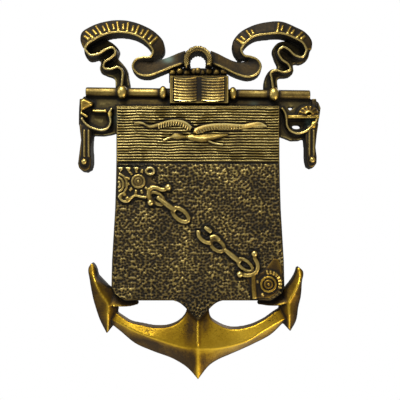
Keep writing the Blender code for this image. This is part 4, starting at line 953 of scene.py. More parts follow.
WING_LEAD_LEFT = [
    (-0.976, 0.209), (-0.915, 0.223), (-0.854, 0.217), (-0.747, 0.163), (-0.609, 0.194), (-0.457, 0.238),
    (-0.319, 0.25), (-0.182, 0.217), (-0.091, 0.141),
]
WING_TRAIL_LEFT = [
    (-0.97, 0.19), (-0.90, 0.19), (-0.84, 0.175), (-0.747, 0.125), (-0.609, 0.145), (-0.457, 0.18),
    (-0.319, 0.19), (-0.20, 0.15), (-0.13, 0.08),
]
WING_LEAD_RIGHT = [
    (-0.075, 0.057), (-0.045, 0.107), (0.047, 0.151), (0.154, 0.177), (0.367, 0.195), (0.688, 0.179),
    (0.978, 0.203), (1.054, 0.156),
]
WING_TRAIL_RIGHT = [
    (-0.075, 0.041), (0.016, 0.037), (0.123, 0.075), (0.261, 0.095), (0.459, 0.095), (0.688, 0.11),
    (0.947, 0.148), (1.054, 0.141),
]
BODY_TOP = [(-0.15, 0.018), (-0.091, 0.034), (0.001, 0.025), (0.123, 0.041), (0.276, 0.041), (0.444, 0.041)]
BODY_MIDDLE = [
    (-0.16, -0.012), (-0.075, -0.017), (0.032, -0.035), (0.154, -0.027), (0.291, -0.004), (0.459, 0.026),
]
BODY_BOTTOM = [
    (-0.15, -0.043), (-0.06, -0.073), (0.062, -0.093), (0.169, -0.07), (0.306, -0.032), (0.459, 0.011),
]
HEAD_TOP = [
    (-0.434, -0.006), (-0.381, 0.034), (-0.319, 0.052), (-0.258, 0.037), (-0.20, 0.016), (-0.13, 0.018),
]
HEAD_MIDDLE = [
    (-0.434, -0.010), (-0.381, -0.002), (-0.319, 0.0), (-0.258, -0.003), (-0.20, -0.008), (-0.13, -0.012),
]
HEAD_BOTTOM = [
    (-0.434, -0.015), (-0.381, -0.037), (-0.319, -0.049), (-0.258, -0.043), (-0.20, -0.030), (-0.13, -0.04),
]


def gull_pieces():
    low = SHIELD_FACE + GULL_FOOT
    wings = (("wing_left", WING_LEAD_LEFT, WING_TRAIL_LEFT, (GULL_TIP, GULL_CREST, GULL_CREST)),
             ("wing_right", WING_LEAD_RIGHT, WING_TRAIL_RIGHT, (GULL_CREST, GULL_CREST, GULL_TIP)))
    for name, lead, trail, heights in wings:
        yield draped(name, trace(trail, GULL, (low,), 14), trace(lead, GULL, heights, 14), base=FACE_BASE)
    bodies = (("gull_body", BODY_BOTTOM, BODY_MIDDLE, BODY_TOP, (GULL_TIP, GULL_CREST, GULL_TIP)),
              ("gull_head", HEAD_BOTTOM, HEAD_MIDDLE, HEAD_TOP, (GULL_TIP, GULL_CREST, GULL_TIP)))
    for name, bottom, middle, top, heights in bodies:
        yield draped(name, trace(bottom, GULL, (low,), 9), trace(middle, GULL, heights, 9),
                     trace(top, GULL, (low,), 9), base=FACE_BASE)
    beak = trace([(-0.396, -0.004), (-0.457, -0.027), (-0.526, -0.062)], GULL, (GULL_TIP,), 3)
    yield rim("gull_beak", beak, BEAK_WIDTH, base=FACE_BASE)
    feet = trace([(0.161, -0.066), (0.245, -0.104), (0.383, -0.124)], GULL, (GULL_TIP,), 4)
    yield rim("gull_feet", feet, BEAK_WIDTH, base=FACE_BASE)


def cutters():
    """The hole of the eye and the two openings in the right guard."""
    half = EYE_WIDTH / 2
    hole = [tuple(point[:2]) for point in arc(0.0, EYE_HOLE_TOP - half, half, half, 0, 180, 0.0, 25)]
    hole += [(-half, EYE_SILL), (half, EYE_SILL)]
    loops = []
    for level, by in ((-BURY, 0.0), (0.0, 0.0), (THROUGH, EYE_FLARE)):
        plan = grown(hole, by)
        loops.append(np.column_stack([plan, np.full(len(plan), level)]))
    yield loft("cut_eye", loops)
    slot = corners([(0.735, -0.195), (0.80, -0.185), (0.755, -0.24)], HILT_RIGHT)
    yield prism("cut_slot", slot, -BURY, THROUGH)
    x, z = corners([(0.81, -0.47)], HILT_RIGHT)[0]
    oval = arc(x, z, *GUARD_HOLE, 0, 348, 0.0, 30)
    yield prism("cut_oval", [tuple(point[:2]) for point in oval], -BURY, THROUGH)


def prism(name, outline, low, high):
    """A straight cutter between two heights."""
    return loft(name, [[(x, z, level) for x, z in outline] for level in (low, high)])


def back_cutter():
    """Everything behind the plane of the back goes."""
    around = [(-AROUND, -AROUND), (AROUND, -AROUND), (AROUND, AROUND), (-AROUND, AROUND)]
    return prism("cut_back", around, -THROUGH, 0.0)


def fused(name, pieces, cuts):
    """Joins pieces into one closed mesh, makes the cuts, and removes the pieces."""
    pieces, cuts = list(pieces), list(cuts)
    base = pieces[0]
    bpy.context.scene.collection.objects.link(base)
    for operation, others in (("UNION", pieces[1:]), ("DIFFERENCE", cuts)):
        group = bpy.data.collections.new(name + operation)
        bpy.context.scene.collection.children.link(group)
        for other in others:
            group.objects.link(other)
        boolean = base.modifiers.new(operation, "BOOLEAN")
        boolean.operation = operation
        boolean.operand_type = "COLLECTION"
        boolean.collection = group
        boolean.solver = "MANIFOLD"
    graph = bpy.context.evaluated_depsgraph_get()
    mesh = bpy.data.meshes.new_from_object(base.evaluated_get(graph))
    mesh.name = name
    for group in [modifier.collection for modifier in base.modifiers]:
        bpy.data.collections.remove(group)
    for piece in pieces + cuts:
        bpy.data.objects.remove(piece)
    piece = bpy.data.objects.new(name, mesh)
    bpy.context.scene.collection.objects.link(piece)
    return piece


def refined(piece, rounds=5):
    """Cuts the long edges of the faces that show, so that wear and patina can vary over them."""
    work = bmesh.new()
    work.from_mesh(piece.data)
    bmesh.ops.triangulate(work, faces=work.faces)
    for _ in range(rounds):
        long = [edge for edge in work.edges if edge.calc_length() > FINEST_EDGE
                and any(face.calc_center_median().y < -SHOWS_FROM for face in edge.link_faces)]
        if not long:
            break
        bmesh.ops.subdivide_edges(work, edges=long, cuts=1)
        bmesh.ops.triangulate(work, faces=[face for face in work.faces if len(face.verts) > 3])
    work.to_mesh(piece.data)
    work.free()


def evened(piece, voxel):
    """Remeshes a form evenly, which rounds its inner corners as a casting does, and trims its back flat."""
    remesh = piece.modifiers.new("even", "REMESH")
    remesh.mode = "VOXEL"
    remesh.voxel_size = voxel
    graph = bpy.context.evaluated_depsgraph_get()
    mesh = bpy.data.meshes.new_from_object(piece.evaluated_get(graph))
    piece.modifiers.clear()
    piece.data = mesh
    points = vertex_array(mesh)
    points[:, 1] = np.minimum(points[:, 1], -BACK_TRIM)
    mesh.vertices.foreach_set("co", points.ravel())


def vertex_array(mesh):
    points = np.empty(len(mesh.vertices) * 3, np.float32)
    mesh.vertices.foreach_get("co", points)
    return points.reshape(-1, 3).astype(float)


def height_raster(pieces):
    """The height of the front over the plan, on a square raster, zero where there is nothing."""
    graph = bpy.context.evaluated_depsgraph_get()
    trees = [BVHTree.FromObject(piece, graph) for piece in pieces]
    low = np.array([cad_box[0][0], cad_box[0][2]]) - RASTER_MARGIN
    high = np.array([cad_box[1][0], cad_box[1][2]]) + RASTER_MARGIN
    xs = np.arange(low[0], high[0], RASTER_STEP)
    zs = np.arange(low[1], high[1], RASTER_STEP)
    heights = np.zeros((len(zs), len(xs)))
    ahead = Vector((0.0, 1.0, 0.0))
    for row, z in enumerate(zs):
        for column, x in enumerate(xs):
            start = Vector((x, RAY_START, z))
            for tree in trees:
                hit = tree.ray_cast(start, ahead)
                if hit[0] is not None:
                    heights[row, column] = max(heights[row, column], -hit[0].y)
    return low, heights


def box_mean(field, radius):
    """Mean over a square window, computed from running sums."""
    width = max(1, round(radius / RASTER_STEP))
    padded = np.pad(field, width + 1, mode="edge")
    total = padded.cumsum(0).cumsum(1)
    size = 2 * width + 1
    rows, columns = field.shape
    block = (total[size:size + rows, size:size + columns] - total[:rows, size:size + columns]
             - total[size:size + rows, :columns] + total[:rows, :columns])
    return block / size**2


def box_most(field, radius):
    """Largest value over a square window."""
    width = max(1, round(radius / RASTER_STEP))
    out = field
    for axis in (0, 1):
        padded = np.pad(out, [(width, width) if a == axis else (0, 0) for a in (0, 1)], mode="edge")
        shifted = [np.take(padded, range(k, k + field.shape[axis]), axis=axis) for k in range(2 * width + 1)]
        out = np.max(shifted, axis=0)
    return out


def surroundings(heights):
    """What the worn brightness, the patina and the painted shade along the feet of forms go by round each
    place: the mean and the greatest height, close by and further off.
    """
    cover = (heights > 0).astype(float)
    fields = {"most": box_most(heights, MOST_REACH), "near": box_most(heights, NEAR_REACH)}
    for name, reach in (("fine", FINE_REACH), ("broad", BROAD_REACH)):
        fields[name] = box_mean(heights, reach) / np.maximum(box_mean(cover, reach), 0.01)
    return fields


def sampled(field, low, points):
    """Reads a raster at plan points, between its nodes."""
    at = (points[:, [0, 2]] - low) / RASTER_STEP
    column = np.clip(at[:, 0], 0, field.shape[1] - 1.001)
    row = np.clip(at[:, 1], 0, field.shape[0] - 1.001)
    i, j = row.astype(int), column.astype(int)
    v, u = row - i, column - j
    return (field[i, j] * (1 - u) * (1 - v) + field[i, j + 1] * u * (1 - v)
            + field[i + 1, j] * (1 - u) * v + field[i + 1, j + 1] * u * v)


def waves(x, z, shape, seed):
    """Smooth random values over the plan, from a size and a strength."""
    size, strength = shape
    table = np.random.default_rng(seed).uniform(-1.0, 1.0, (64, 64))
    u, v = np.asarray(x) / size, np.asarray(z) / size
    i, j = np.floor(u).astype(int), np.floor(v).astype(int)
    s, t = u - i, v - j
    s, t = s * s * (3 - 2 * s), t * t * (3 - 2 * t)
    low = table[i % 64, j % 64] * (1 - s) + table[(i + 1) % 64, j % 64] * s
    high = table[i % 64, (j + 1) % 64] * (1 - s) + table[(i + 1) % 64, (j + 1) % 64] * s
    return strength * (low * (1 - t) + high * t)


def punch_distance(x, z, pitch, seed):
    """Distance to the nearest of many scattered punch marks, in pitches."""
    rng = np.random.default_rng(seed)
    jitter = rng.uniform(0.1, 0.9, (2, 128, 128))
    u, v = x / pitch, z / pitch
    i, j = np.floor(u).astype(int), np.floor(v).astype(int)
    nearest = np.full(np.shape(x), 9.0)
    for di in (-1, 0, 1):
        for dj in (-1, 0, 1):
            a, b = (i + di) % 128, (j + dj) % 128
            far = np.hypot(i + di + jitter[0, a, b] - u, j + dj + jitter[1, a, b] - v)
            nearest = np.minimum(nearest, far)
    return nearest


def field_height(x, z):
    """Height of the shield's face: hand-cut ridges above the groove, a punched ground below it."""
    phase = (SHIELD_TOP - FACE_INSET - z) / RIDGE_PITCH
    ridge = (0.5 - 0.5 * np.cos(math.tau * phase))**RIDGE_SWELL
    upper = RIDGE_FOOT + RIDGE_RISE * ridge * (1.0 + waves(x, z, RIDGE_BREAKS, seed=5))
    punched = np.clip(punch_distance(x, z, PUNCH_PITCH, seed=6) / PUNCH_REACH, 0.0, 1.0)**GROUND_SWELL
    lower = GROUND_FOOT + GROUND_RISE * punched * (1.0 + waves(x, z, GROUND_LUMPS, seed=7))
    height = np.where(z > GROOVE_MIDDLE, upper, lower)
    near = np.clip(1.0 - np.abs(z - GROOVE_MIDDLE) / (GROOVE_SPREAD * FIELD_GROOVE), 0.0, 1.0)
    return SHIELD_FACE + height * (1 - near) + GROOVE_FLOOR * near + waves(x, z, CAST_WAVES, seed=8)


def panel(name, heights_z, half_widths, columns):
    """A closed sheet over the shield's face whose front follows field_height."""
    z = np.repeat(np.array(heights_z)[:, None], columns, axis=1)
    x = np.array(half_widths)[:, None] * np.linspace(-1.0, 1.0, columns)[None, :]
    front = field_height(x, z)
    inside = np.clip((SHIELD_TOP - FACE_INSET - z) / RIDGE_PITCH, 0.0, 1.0)
    inside *= np.clip((z - GROOVE_MIDDLE - FIELD_GROOVE / 2) / RIDGE_PITCH, 0.0, 1.0)
    z = z + inside * (waves(x, z, RIDGE_DRIFT, seed=3) + waves(x, z, RIDGE_WOBBLE, seed=4))
    rows = len(heights_z)
    back_y = np.full(x.size, PANEL_DEPTH - SHIELD_FACE)
    points = np.concatenate([np.column_stack([x.ravel(), y, z.ravel()]) for y in (-front.ravel(), back_y)])
    index = np.arange(rows * columns).reshape(rows, columns)
    one = np.stack([index[:-1, :-1], index[:-1, 1:], index[1:, 1:], index[1:, :-1]], axis=-1).reshape(-1, 4)
    back = one[:, ::-1] + rows * columns
    edge = np.concatenate([index[0, :], index[1:, -1], index[-1, -2::-1], index[-2:0:-1, 0]])
    ahead = np.roll(edge, -1)
    wall = np.column_stack([ahead, edge, edge + rows * columns, ahead + rows * columns])
    mesh = bpy.data.meshes.new(name)
    mesh.from_pydata(points.tolist(), [], np.concatenate([one, back, wall]).tolist())
    work = bmesh.new()
    work.from_mesh(mesh)
    bpy.data.meshes.remove(mesh)
    return finished(name, work)


def both_sides(half, start=-1):
    """The right half of an outline, and its mirror image back up the left from one of its points."""
    return np.vstack([half, (half * (-1.0, 1.0))[start::-1]])


def shield_surface():
    """The shield with a sunk face, and the two sheets of relief that fill it."""
    half = shield_half()
    plate = slab("shield", both_sides(half, -2), SHIELD_FACE, edge=SHIELD_EDGE)
    low = SHIELD_TOP - SHIELD_HEIGHT
    is_side = half[:, 1] > low + SAME_HEIGHT
    edge, ogee = half[is_side], half[~is_side]
    ridges = SHIELD_TOP - FACE_INSET - RIDGE_PITCH * np.arange(FIELD_RIBS * RIDGE_ROWS) / RIDGE_ROWS
    ground = np.arange(ridges[-1] - RIDGE_PITCH / RIDGE_ROWS, low + FACE_INSET, -PANEL_STEP)
    zs = np.concatenate([ridges, ground])
    widths = np.interp(-zs, -edge[:, 1], edge[:, 0]) - FACE_INSET
    tip_zs = np.arange(low + 2 * FACE_INSET, half[-1, 1] + 3 * FACE_INSET, -PANEL_STEP)
    tip_widths = np.maximum(np.interp(-tip_zs, -ogee[:, 1], ogee[:, 0]) - FACE_INSET, PANEL_LAP)
    tip_widths = np.minimum(tip_widths, TIP_REACH - FACE_INSET)
    pockets = (("pocket", widths, zs), ("pocket_tip", tip_widths, tip_zs))
    cuts = [prism(name, both_sides(np.column_stack(sides)), SHIELD_FACE - PANEL_SINK * PANEL_DEPTH, THROUGH)
            for name, *sides in pockets]
    plate = fused("shield_plate", [plate], cuts)
    bpy.context.scene.collection.objects.unlink(plate)
    yield plate
    yield panel("field", zs, widths + PANEL_LAP, round(2 * widths.max() / PANEL_ACROSS))
    yield panel("field_tip", tip_zs, tip_widths + PANEL_LAP, round(2 * tip_widths.max() / PANEL_STEP))


def rope_strands():
    """The slanting strands of the rope moulding round the eye."""
    for number in range(2 * ROPE_STRANDS):
        turn = math.radians(STRAND_START + STRAND_SPREAD * number / (2 * ROPE_STRANDS - 1))
        points = []
        for across in np.linspace(-STRAND_REACH * EYE_ROPE, STRAND_REACH * EYE_ROPE, 5):
            at = turn + STRAND_SLANT * across / EYE_RADIUS
            lift = math.sqrt(EYE_ROPE**2 - across**2) - EYE_ROPE
            reach = EYE_RADIUS + across
            height = EYE_HEIGHT + lift + STRAND_RISE
            points.append((reach * math.cos(at), EYE_MIDDLE + reach * math.sin(at), height))
        yield rim(f"strand_{number}", points, STRAND_WIDTH, base=STOCK_HEIGHT, steps=4)


def feather_pieces():
    """Short quills along the underside of each wing."""
    wings = (("quill_left", WING_LEAD_LEFT, WING_TRAIL_LEFT, 0.42, 0.93, 13, 1.5),
             ("quill_right", WING_LEAD_RIGHT, WING_TRAIL_RIGHT, 0.07, 0.62, 16, 0.9))
    for name, lead, trail, start, end, count, reach in wings:
        top, bottom = trace(lead, GULL, (QUILL_TOP,), 30), trace(trail, GULL, QUILL_FOOT, 30)
        for number, share in enumerate(np.linspace(start, end, count)):
            one = band_point(top, share)
            two = one + (band_point(bottom, share) - one) * reach
            two[0] += QUILL_LEAN
            yield rim(f"{name}_{number}", [one, (one + two) / 2, two], QUILL_WIDTH, base=FACE_BASE, steps=3)


# Patches of verdigris, pits, and grime with painted shade and highlights: x, z, width, height and strength
VERDIGRIS = ((-0.0175, 0.0015, 0.0028, 0.0020, 1.0), (0.0654, -0.0351, 0.0016, 0.0022, 0.65),
             (-0.0480, -0.0330, 0.0030, 0.0030, 0.22), (0.0330, -0.0237, 0.0025, 0.0012, 0.30))
PITTED = ((-0.0285, -0.1577, 0.0040, 0.0028, 1.0), (0.0432, -0.1504, 0.0038, 0.0026, 0.8),
          (-0.0080, -0.1560, 0.0070, 0.0050, 0.4), (0.0120, -0.1570, 0.0090, 0.0050, 0.3))
# Painted shade under the shield tip, on the left arm's lower facet, beside the spine and in the book's
# gutter; negative ones paint highlights on the spine and the right arm's lower facet
GRIME_AND_PAINTED_LIGHT = (
    (-0.0048, -0.1560, 0.0034, 0.0085, 0.42), (0.0046, -0.1540, 0.0032, 0.0065, 0.40),
    (-0.0090, -0.1760, 0.0090, 0.0060, 0.30), (-0.0330, -0.1665, 0.0120, 0.0035, 0.28),
    (-0.0170, -0.1590, 0.0100, 0.0030, 0.02), (0.0230, -0.1590, 0.0050, 0.0040, -0.10),
    (-0.0100, -0.0300, 0.0500, 0.0120, -0.12), (0.0, -0.0620, 0.0500, 0.0050, -0.06),
    (0.0450, -0.1100, 0.0060, 0.0300, 0.08), (-0.0600, -0.1700, 0.0100, 0.0100, 0.10),
    (-0.0300, -0.1700, 0.0160, 0.0060, 0.24), (0.0007, -0.0165, 0.0011, 0.0100, 0.40),
    (0.0, -0.1775, 0.0009, 0.0120, -0.24), (-0.0030, -0.1775, 0.0020, 0.0080, 0.26),
    (0.0032, -0.1780, 0.0020, 0.0080, 0.20), (0.0300, -0.1570, 0.0140, 0.0060, -0.20),
    (0.0280, -0.1680, 0.0180, 0.0070, -0.24), (0.0560, -0.0187, 0.0120, 0.0050, 0.07),
)

# How bright each form is worn and how golden its brass is: the first start of a name that fits counts
POLISH = (
    ("crown_ridge", 0.90, 1.0), ("arm_", 0.82, 1.0), ("fluke_", 0.60, 0.95), ("palm_", 0.46, 0.8),
    ("shank", 0.15, 0.5), ("shield_plate", 0.52, 0.3), ("field", 0.25, 0.2), ("gull_body", 0.60, 0.4),
    ("gull", 0.66, 0.3), ("wing", 0.64, 0.3), ("quill", 0.74, 0.3), ("bracket", 0.66, 0.4),
    ("hook", 0.66, 0.4), ("bar_", 0.66, 0.35), ("link_", 0.56, 0.3), ("stem", 0.46, 0.6),
    ("plate_upper", 0.42, 0.3), ("plate_", 0.36, 0.7), ("rosette_lower", 0.46, 0.75),
    ("rosette", 0.55, 0.3), ("loop_oval", 0.55, 0.3), ("loop_drop", 0.6, 0.3), ("scroll", 0.6, 0.4),
    ("tooth", 0.55, 0.3), ("scallop", 0.58, 0.6), ("lump", 0.5, 0.4), ("edge_", 0.36, 0.3),
    ("arch_", 0.37, 0.6), ("strip_", 0.28, 0.5), ("tail_", 0.66, 0.1), ("stroke_", 0.72, 0.6),
    ("rope", 0.20, 0.3), ("strand", 0.30, 0.3), ("sill", 0.26, 0.4), ("knob_", 0.46, 0.5),
    ("boss_left", 0.44, 0.6), ("boss", 0.35, 0.4), ("cover", 0.48, 0.4), ("page_", 0.44, 0.35),
    ("stock_web", 0.54, 0.3), ("stock", 0.54, 0.35), ("knot_", 0.76, 0.5), ("collar", 0.70, 0.5),
    ("web_", 0.60, 0.1), ("grip_line", 0.38, 0.3), ("grip_", 0.17, 0.4), ("loop_left", 0.50, 0.3),
    ("loop_right", 0.48, 0.4), ("pommel", 0.50, 0.5), ("pad_", 0.75, 0.8), ("fan", 0.42, 0.6),
    ("guard_left", 0.05, 0.3), ("guard_right", 0.10, 0.3), ("guard", 0.50, 0.6),
)


def polish_of(name):
    """How bright a form is worn, and how golden its brass is."""
    return next(pair for start, *pair in POLISH if name.startswith(start))


def softened(piece, rounds):
    """Rounds the worn edges by moving each vertex of the front towards its neighbours."""
    mesh = piece.data
    points = vertex_array(mesh)
    ends = np.empty(len(mesh.edges) * 2, np.int32)
    mesh.edges.foreach_get("vertices", ends)
    ends = ends.reshape(-1, 2)
    count = np.bincount(ends.ravel(), minlength=len(points)).astype(float)
    free = points[:, 1] < -BACK_DEPTH
    for _ in range(rounds):
        total = np.zeros_like(points)
        for axis in range(3):
            total[:, axis] = (np.bincount(ends[:, 0], points[ends[:, 1], axis], len(points))
                              + np.bincount(ends[:, 1], points[ends[:, 0], axis], len(points)))
        mean = total / np.maximum(count, 1.0)[:, None]
        points = np.where(free[:, None], points + (mean - points) * SMOOTHING, points)
    mesh.vertices.foreach_set("co", points.ravel())
    mesh.update()


def put_attribute(mesh, name, values):
    layer = mesh.attributes.new(name, "FLOAT", "POINT")
    layer.data.foreach_set("value", np.clip(values, 0.0, 1.0).astype(np.float32))


def source_trees(pieces):
    """One search tree for each finish, made before the pieces are joined."""
    groups = {}
    for piece in pieces:
        points, faces = groups.setdefault(tuple(polish_of(piece.name)), ([], []))
        start = len(points)
        points.extend(tuple(vertex.co) for vertex in piece.data.vertices)
        faces.extend([start + index for index in face.vertices] for face in piece.data.polygons)
    return {pair: BVHTree.FromPolygons(points, faces) for pair, (points, faces) in groups.items()}


def paint_polish(piece, trees):
    """Gives each place the finish of the nearest form."""
    points = vertex_array(piece.data)
    values = np.zeros((len(points), 2))
    for number, point in enumerate(points):
        spot = Vector(point)
        best = AROUND
        for pair, tree in trees.items():
            hit = tree.find_nearest(spot, best)
            if hit[3] is not None and hit[3] < best:
                best = hit[3]
                values[number] = pair
    values[-points[:, 1] < BACK_DEPTH] = BACK_POLISH
    put_attribute(piece.data, "polish", values[:, 0])
    put_attribute(piece.data, "gold", values[:, 1])


def patches(table, points):
    """Soft round patches over the plan, each by its place, its width and height, and its strength."""
    amount = np.zeros(len(points))
    for x, z, wide, tall, strength in table:
        amount += strength * np.exp(-((points[:, 0] - x) / wide)**2 - ((points[:, 2] - z) / tall)**2)
    return amount


def paint_wear_and_shade(piece, low, fields):
    """Bright where a place stands above what is around it, dark where it lies below, with painted shade along
    the feet of forms and on steep sides, and grime patches that also paint shade and highlights.
    """
    mesh = piece.data
    points = vertex_array(mesh)
    height = -points[:, 1]
    around = {name: sampled(field, low, points) for name, field in fields.items()}
    fine = (height - around["fine"]) / FINE_WEAR
    broad = (height - around["broad"]) / BROAD_WEAR
    depth = (around["most"] - height) / DEEP
    # Painted shade: a dark line along the foot of every form, where a taller form stands close by
    foot_shade = np.clip((around["near"] - height) / FOOT_SHADE_DEPTH, 0, 1)
    own_wear = 0.0
    if piece.name == "shield_relief":
        above = points[:, 2] > GROOVE_MIDDLE
        foot, rise = np.where(above, RIDGE_FOOT, GROUND_FOOT), np.where(above, RIDGE_RISE, GROUND_RISE)
        own = 2.0 * (height - SHIELD_FACE - foot) / rise - 1.0
        ground = own < GROUND_TOP
        fine = np.where(ground, own, fine)
        broad = depth = np.zeros(len(points))
        # On the shield, the painted shade is a dark halo on the ground round the figures
        foot_shade = 2.0 * (around["near"] - SHIELD_FACE - RIDGE_RISE) / FOOT_SHADE_DEPTH
        foot_shade = np.where(ground, 2.0 * np.clip(foot_shade, 0, 1), 0.0)
        own_wear = np.where(ground, np.where(above, UPPER_WEAR, LOWER_WEAR), 0.0)
    facing = np.empty(len(points) * 3, np.float32)
    mesh.vertices.foreach_get("normal", facing)
    facing = -facing.reshape(-1, 3)[:, 1]
    is_anchor = piece.name == "anchor_form"
    # The anchor gets lighter painted shade; line is the strength of the painted foot shade
    steep, line = (ANCHOR_STEEP, ANCHOR_FOOT_SHADE) if is_anchor else (STEEP, FOOT_SHADE)
    wear = WEAR_MIDDLE + FINE_WEIGHT * np.clip(fine, -1, 1) + BROAD_WEIGHT * np.clip(broad, -1, 1)
    # Patina darkens the deep places; the steep term paints shade on faces turned away from the front
    wear -= DEEP_WEIGHT * np.clip(depth, 0, 1) + SIDE_SHADE * np.clip(steep - facing, 0, SIDE_SHADE_LIMIT)
    # Painted foot shade, and grime patches that also paint shade and highlights
    wear += own_wear - line * foot_shade - patches(GRIME_AND_PAINTED_LIGHT, points)
    # The attribute made here holds worn brightness and patina together with painted shade and painted
    # highlights
    put_attribute(mesh, "wear", np.where(height < BACK_DEPTH, BACK_WEAR, wear))
    put_attribute(mesh, "verdigris", patches(VERDIGRIS, points))
    put_attribute(mesh, "pitted", patches(PITTED, points))


def aged_brass():
    """Brass, bright where it is worn and under a dark patina elsewhere; the attribute that brings this in
    also carries painted shade and painted highlights.
    """
    material = bpy.data.materials.new("aged_brass_cast")
    material.use_nodes = True
    tree = material.node_tree
    nodes, links = tree.nodes, tree.links
    shader = nodes["Principled BSDF"]
    place = nodes.new("ShaderNodeTexCoord").outputs["Object"]

    def maths(operation, one, two, clamp=False):
        node = nodes.new("ShaderNodeMath")
        node.operation = operation
        node.use_clamp = clamp
        for socket, entry in zip(node.inputs, (one, two)):
            if isinstance(entry, float):
                socket.default_value = entry
            else:
                links.new(entry, socket)
        return node.outputs[0]

    def noise(scale, detail, rough=0.6):
        node = nodes.new("ShaderNodeTexNoise")
        node.inputs["Scale"].default_value = scale
        node.inputs["Detail"].default_value = detail
        node.inputs["Roughness"].default_value = rough
        links.new(place, node.inputs["Vector"])
        return node.outputs["Fac"]

    def ramp(factor, stops):
        """A colour ramp whose first and last stop are given first, because a new ramp has those two."""
        node = nodes.new("ShaderNodeValToRGB")
        for number, (at, colour) in enumerate(stops):
            element = node.color_ramp.elements[number] if number < 2 else node.color_ramp.elements.new(at)
            element.position = at
            element.color = (*colour, 1.0)
        links.new(factor, node.inputs["Fac"])
        return node.outputs["Color"]

    def blended(mask, one):
        """A node that goes from one colour to another by a mask; its second colour is still to set."""
        node = nodes.new("ShaderNodeMix")
        node.data_type = "RGBA"
        links.new(mask, node.inputs["Factor"])
        links.new(one, node.inputs["A"])
        return node.outputs["Result"], node.inputs["B"]

    masks = {}
    for name in ("wear", "polish", "gold", "verdigris", "pitted"):
        node = nodes.new("ShaderNodeAttribute")
        node.attribute_name = name
        masks[name] = node.outputs["Fac"]
    blotch = maths("SUBTRACT", noise(scale=70.0, detail=4.0), 0.5)
    speck = maths("SUBTRACT", noise(scale=900.0, detail=3.0, rough=0.7), 0.5)
    # The worn-brightness attribute read here also carries painted shade and painted highlights into the
    # colour
    amount = maths("ADD", masks["wear"], maths("MULTIPLY", maths("SUBTRACT", masks["polish"], 0.5), 0.85))
    amount = maths("ADD", amount, maths("MULTIPLY", blotch, 0.60))
    amount = maths("ADD", amount, maths("MULTIPLY", speck, 0.30), clamp=True)
    hollow = maths("MULTIPLY", maths("SUBTRACT", noise(scale=1300.0, detail=2.0), 0.55), 9.0, clamp=True)
    amount = maths("SUBTRACT", amount, maths("MULTIPLY", hollow, masks["pitted"]), clamp=True)
    olive = ramp(amount, (
        (0.05, (0.010, 0.0085, 0.006)),
        (1.0, (0.63, 0.575, 0.32)),
        (0.30, (0.040, 0.033, 0.018)),
        (0.52, (0.116, 0.096, 0.046)),
        (0.75, (0.41, 0.345, 0.15)),
    ))
    golden = ramp(amount, (
        (0.05, (0.007, 0.004, 0.002)),
        (1.0, (0.80, 0.53, 0.050)),
        (0.30, (0.060, 0.032, 0.006)),
        (0.52, (0.21, 0.120, 0.010)),
        (0.75, (0.50, 0.31, 0.022)),
    ))
    brass, second = blended(masks["gold"], olive)
    links.new(golden, second)
    corroded, green = blended(masks["verdigris"], brass)
    green.default_value = (0.085, 0.145, 0.125, 1.0)
    links.new(corroded, shader.inputs["Base Color"])
    metal = ramp(amount, ((0.0, (0.55,) * 3), (0.6, (1.0,) * 3)))
    links.new(maths("SUBTRACT", metal, masks["verdigris"], clamp=True), shader.inputs["Metallic"])
    links.new(ramp(amount, ((0.0, (0.72,) * 3), (0.9, (0.36,) * 3))), shader.inputs["Roughness"])
    bump = nodes.new("ShaderNodeBump")
    bump.inputs["Strength"].default_value = 0.22
    bump.inputs["Distance"].default_value = 0.0004
    grain = noise(scale=450.0, detail=6.0, rough=0.65)
    links.new(maths("ADD", grain, maths("MULTIPLY", speck, 0.6)), bump.inputs["Height"])
    links.new(bump.outputs["Normal"], shader.inputs["Normal"])
    return material


def softbox(name, place, width, height, power, colour):
    light = bpy.data.lights.new(name, "AREA")
    light.shape = "RECTANGLE"
    light.size = width
    light.size_y = height
    light.energy = power
    light.color = colour
    lamp = bpy.data.objects.new(name, light)
    lamp.location = place
    lamp.rotation_euler = (Vector(LIT_POINT) - Vector(place)).to_track_quat("-Z", "Y").to_euler()
    bpy.context.scene.collection.objects.link(lamp)


def room():
    """A world that is white to the camera and dimmer and warmer as a light."""
    world = bpy.data.worlds.new("studio_white")
    bpy.context.scene.world = world
    world.use_nodes = True
    nodes, links = world.node_tree.nodes, world.node_tree.links
    nodes.clear()
    seen, unseen = nodes.new("ShaderNodeBackground"), nodes.new("ShaderNodeBackground")
    seen.inputs["Color"].default_value = (1.0, 1.0, 1.0, 1.0)
    unseen.inputs["Color"].default_value = (1.0, 0.96, 0.86, 1.0)
    unseen.inputs["Strength"].default_value = ROOM_LIGHT
    mix, path = nodes.new("ShaderNodeMixShader"), nodes.new("ShaderNodeLightPath")
    out = nodes.new("ShaderNodeOutputWorld")
    links.new(path.outputs["Is Camera Ray"], mix.inputs[0])
    links.new(unseen.outputs[0], mix.inputs[1])
    links.new(seen.outputs[0], mix.inputs[2])
    links.new(mix.outputs[0], out.inputs["Surface"])


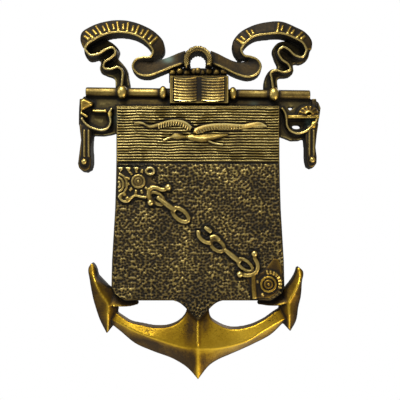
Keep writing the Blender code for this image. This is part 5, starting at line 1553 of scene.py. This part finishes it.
def studio():
    scene = bpy.context.scene
    camera = bpy.data.objects.new("camera", bpy.data.cameras.new("camera"))
    camera.data.lens = CAMERA_LENS
    camera.data.sensor_width = 36.0
    camera.location = CAMERA_PLACE
    camera.rotation_euler = (math.radians(90.0), 0.0, 0.0)
    scene.collection.objects.link(camera)
    scene.camera = camera
    scene.view_settings.view_transform = "Standard"
    room()
    for values in SOFTBOXES:
        softbox(*values)
    work = bmesh.new()
    bmesh.ops.create_circle(work, cap_ends=True, segments=96, radius=FLOOR_RADIUS)
    bmesh.ops.translate(work, vec=(0.0, 0.0, FLOOR_Z), verts=work.verts)
    floor_mesh = bpy.data.meshes.new("floor")
    work.to_mesh(floor_mesh)
    work.free()
    floor = bpy.data.objects.new("floor", floor_mesh)
    scene.collection.objects.link(floor)
    paint = bpy.data.materials.new("floor_paint")
    paint.use_nodes = True
    paint.node_tree.nodes["Principled BSDF"].inputs["Base Color"].default_value = (0.86, 0.86, 0.85, 1.0)
    paint.node_tree.nodes["Principled BSDF"].inputs["Roughness"].default_value = 0.9
    floor_mesh.materials.append(paint)


def build():
    """Makes the six pieces: their forms, cuts, voxel size, rounds of smoothing and sharp angle."""
    brass = aged_brass()
    groups = (
        ("shield_relief", (shield_surface, gull_pieces, feather_pieces), (), None, 0, 80),
        ("chain_and_rosettes", (chain_pieces, corner_pieces, corner_lumps), (), FIGURE_VOXEL, 1, 50),
        ("anchor_form", (anchor_pieces,), (), ANCHOR_VOXEL, 2, 50),
        ("ribbon_crest", (ribbon_pieces,), (cutters,), CREST_VOXEL, 2, 50),
        ("stock_and_hilts", (stock_pieces, hilt_pieces), (cutters,), CREST_VOXEL, 2, 50),
        ("eye_and_book", (eye_pieces, rope_strands, book_pieces), (cutters,), None, 0, 50),
    )
    made = []
    for name, makers, cuts, voxel, rounds, sharp in groups:
        parts = [part for maker in makers for part in maker()]
        trees = source_trees(parts)
        piece = fused(name, parts, [back_cutter()] + [cut for maker in cuts for cut in maker()])
        if voxel:
            evened(piece, voxel)
            softened(piece, rounds)
        else:
            refined(piece)
        piece.data.shade_smooth()
        piece.data.set_sharp_from_angle(angle=math.radians(sharp))
        paint_polish(piece, trees)
        piece.data.materials.clear()
        piece.data.materials.append(brass)
        made.append(piece)
        print(name, len(piece.data.polygons), "faces")
    low, heights = height_raster(made)
    fields = surroundings(heights)
    for piece in made:
        paint_wear_and_shade(piece, low, fields)
        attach(piece, "root")
        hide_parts("cast_plaque")


studio()
build()
bpy.context.view_layer.update()
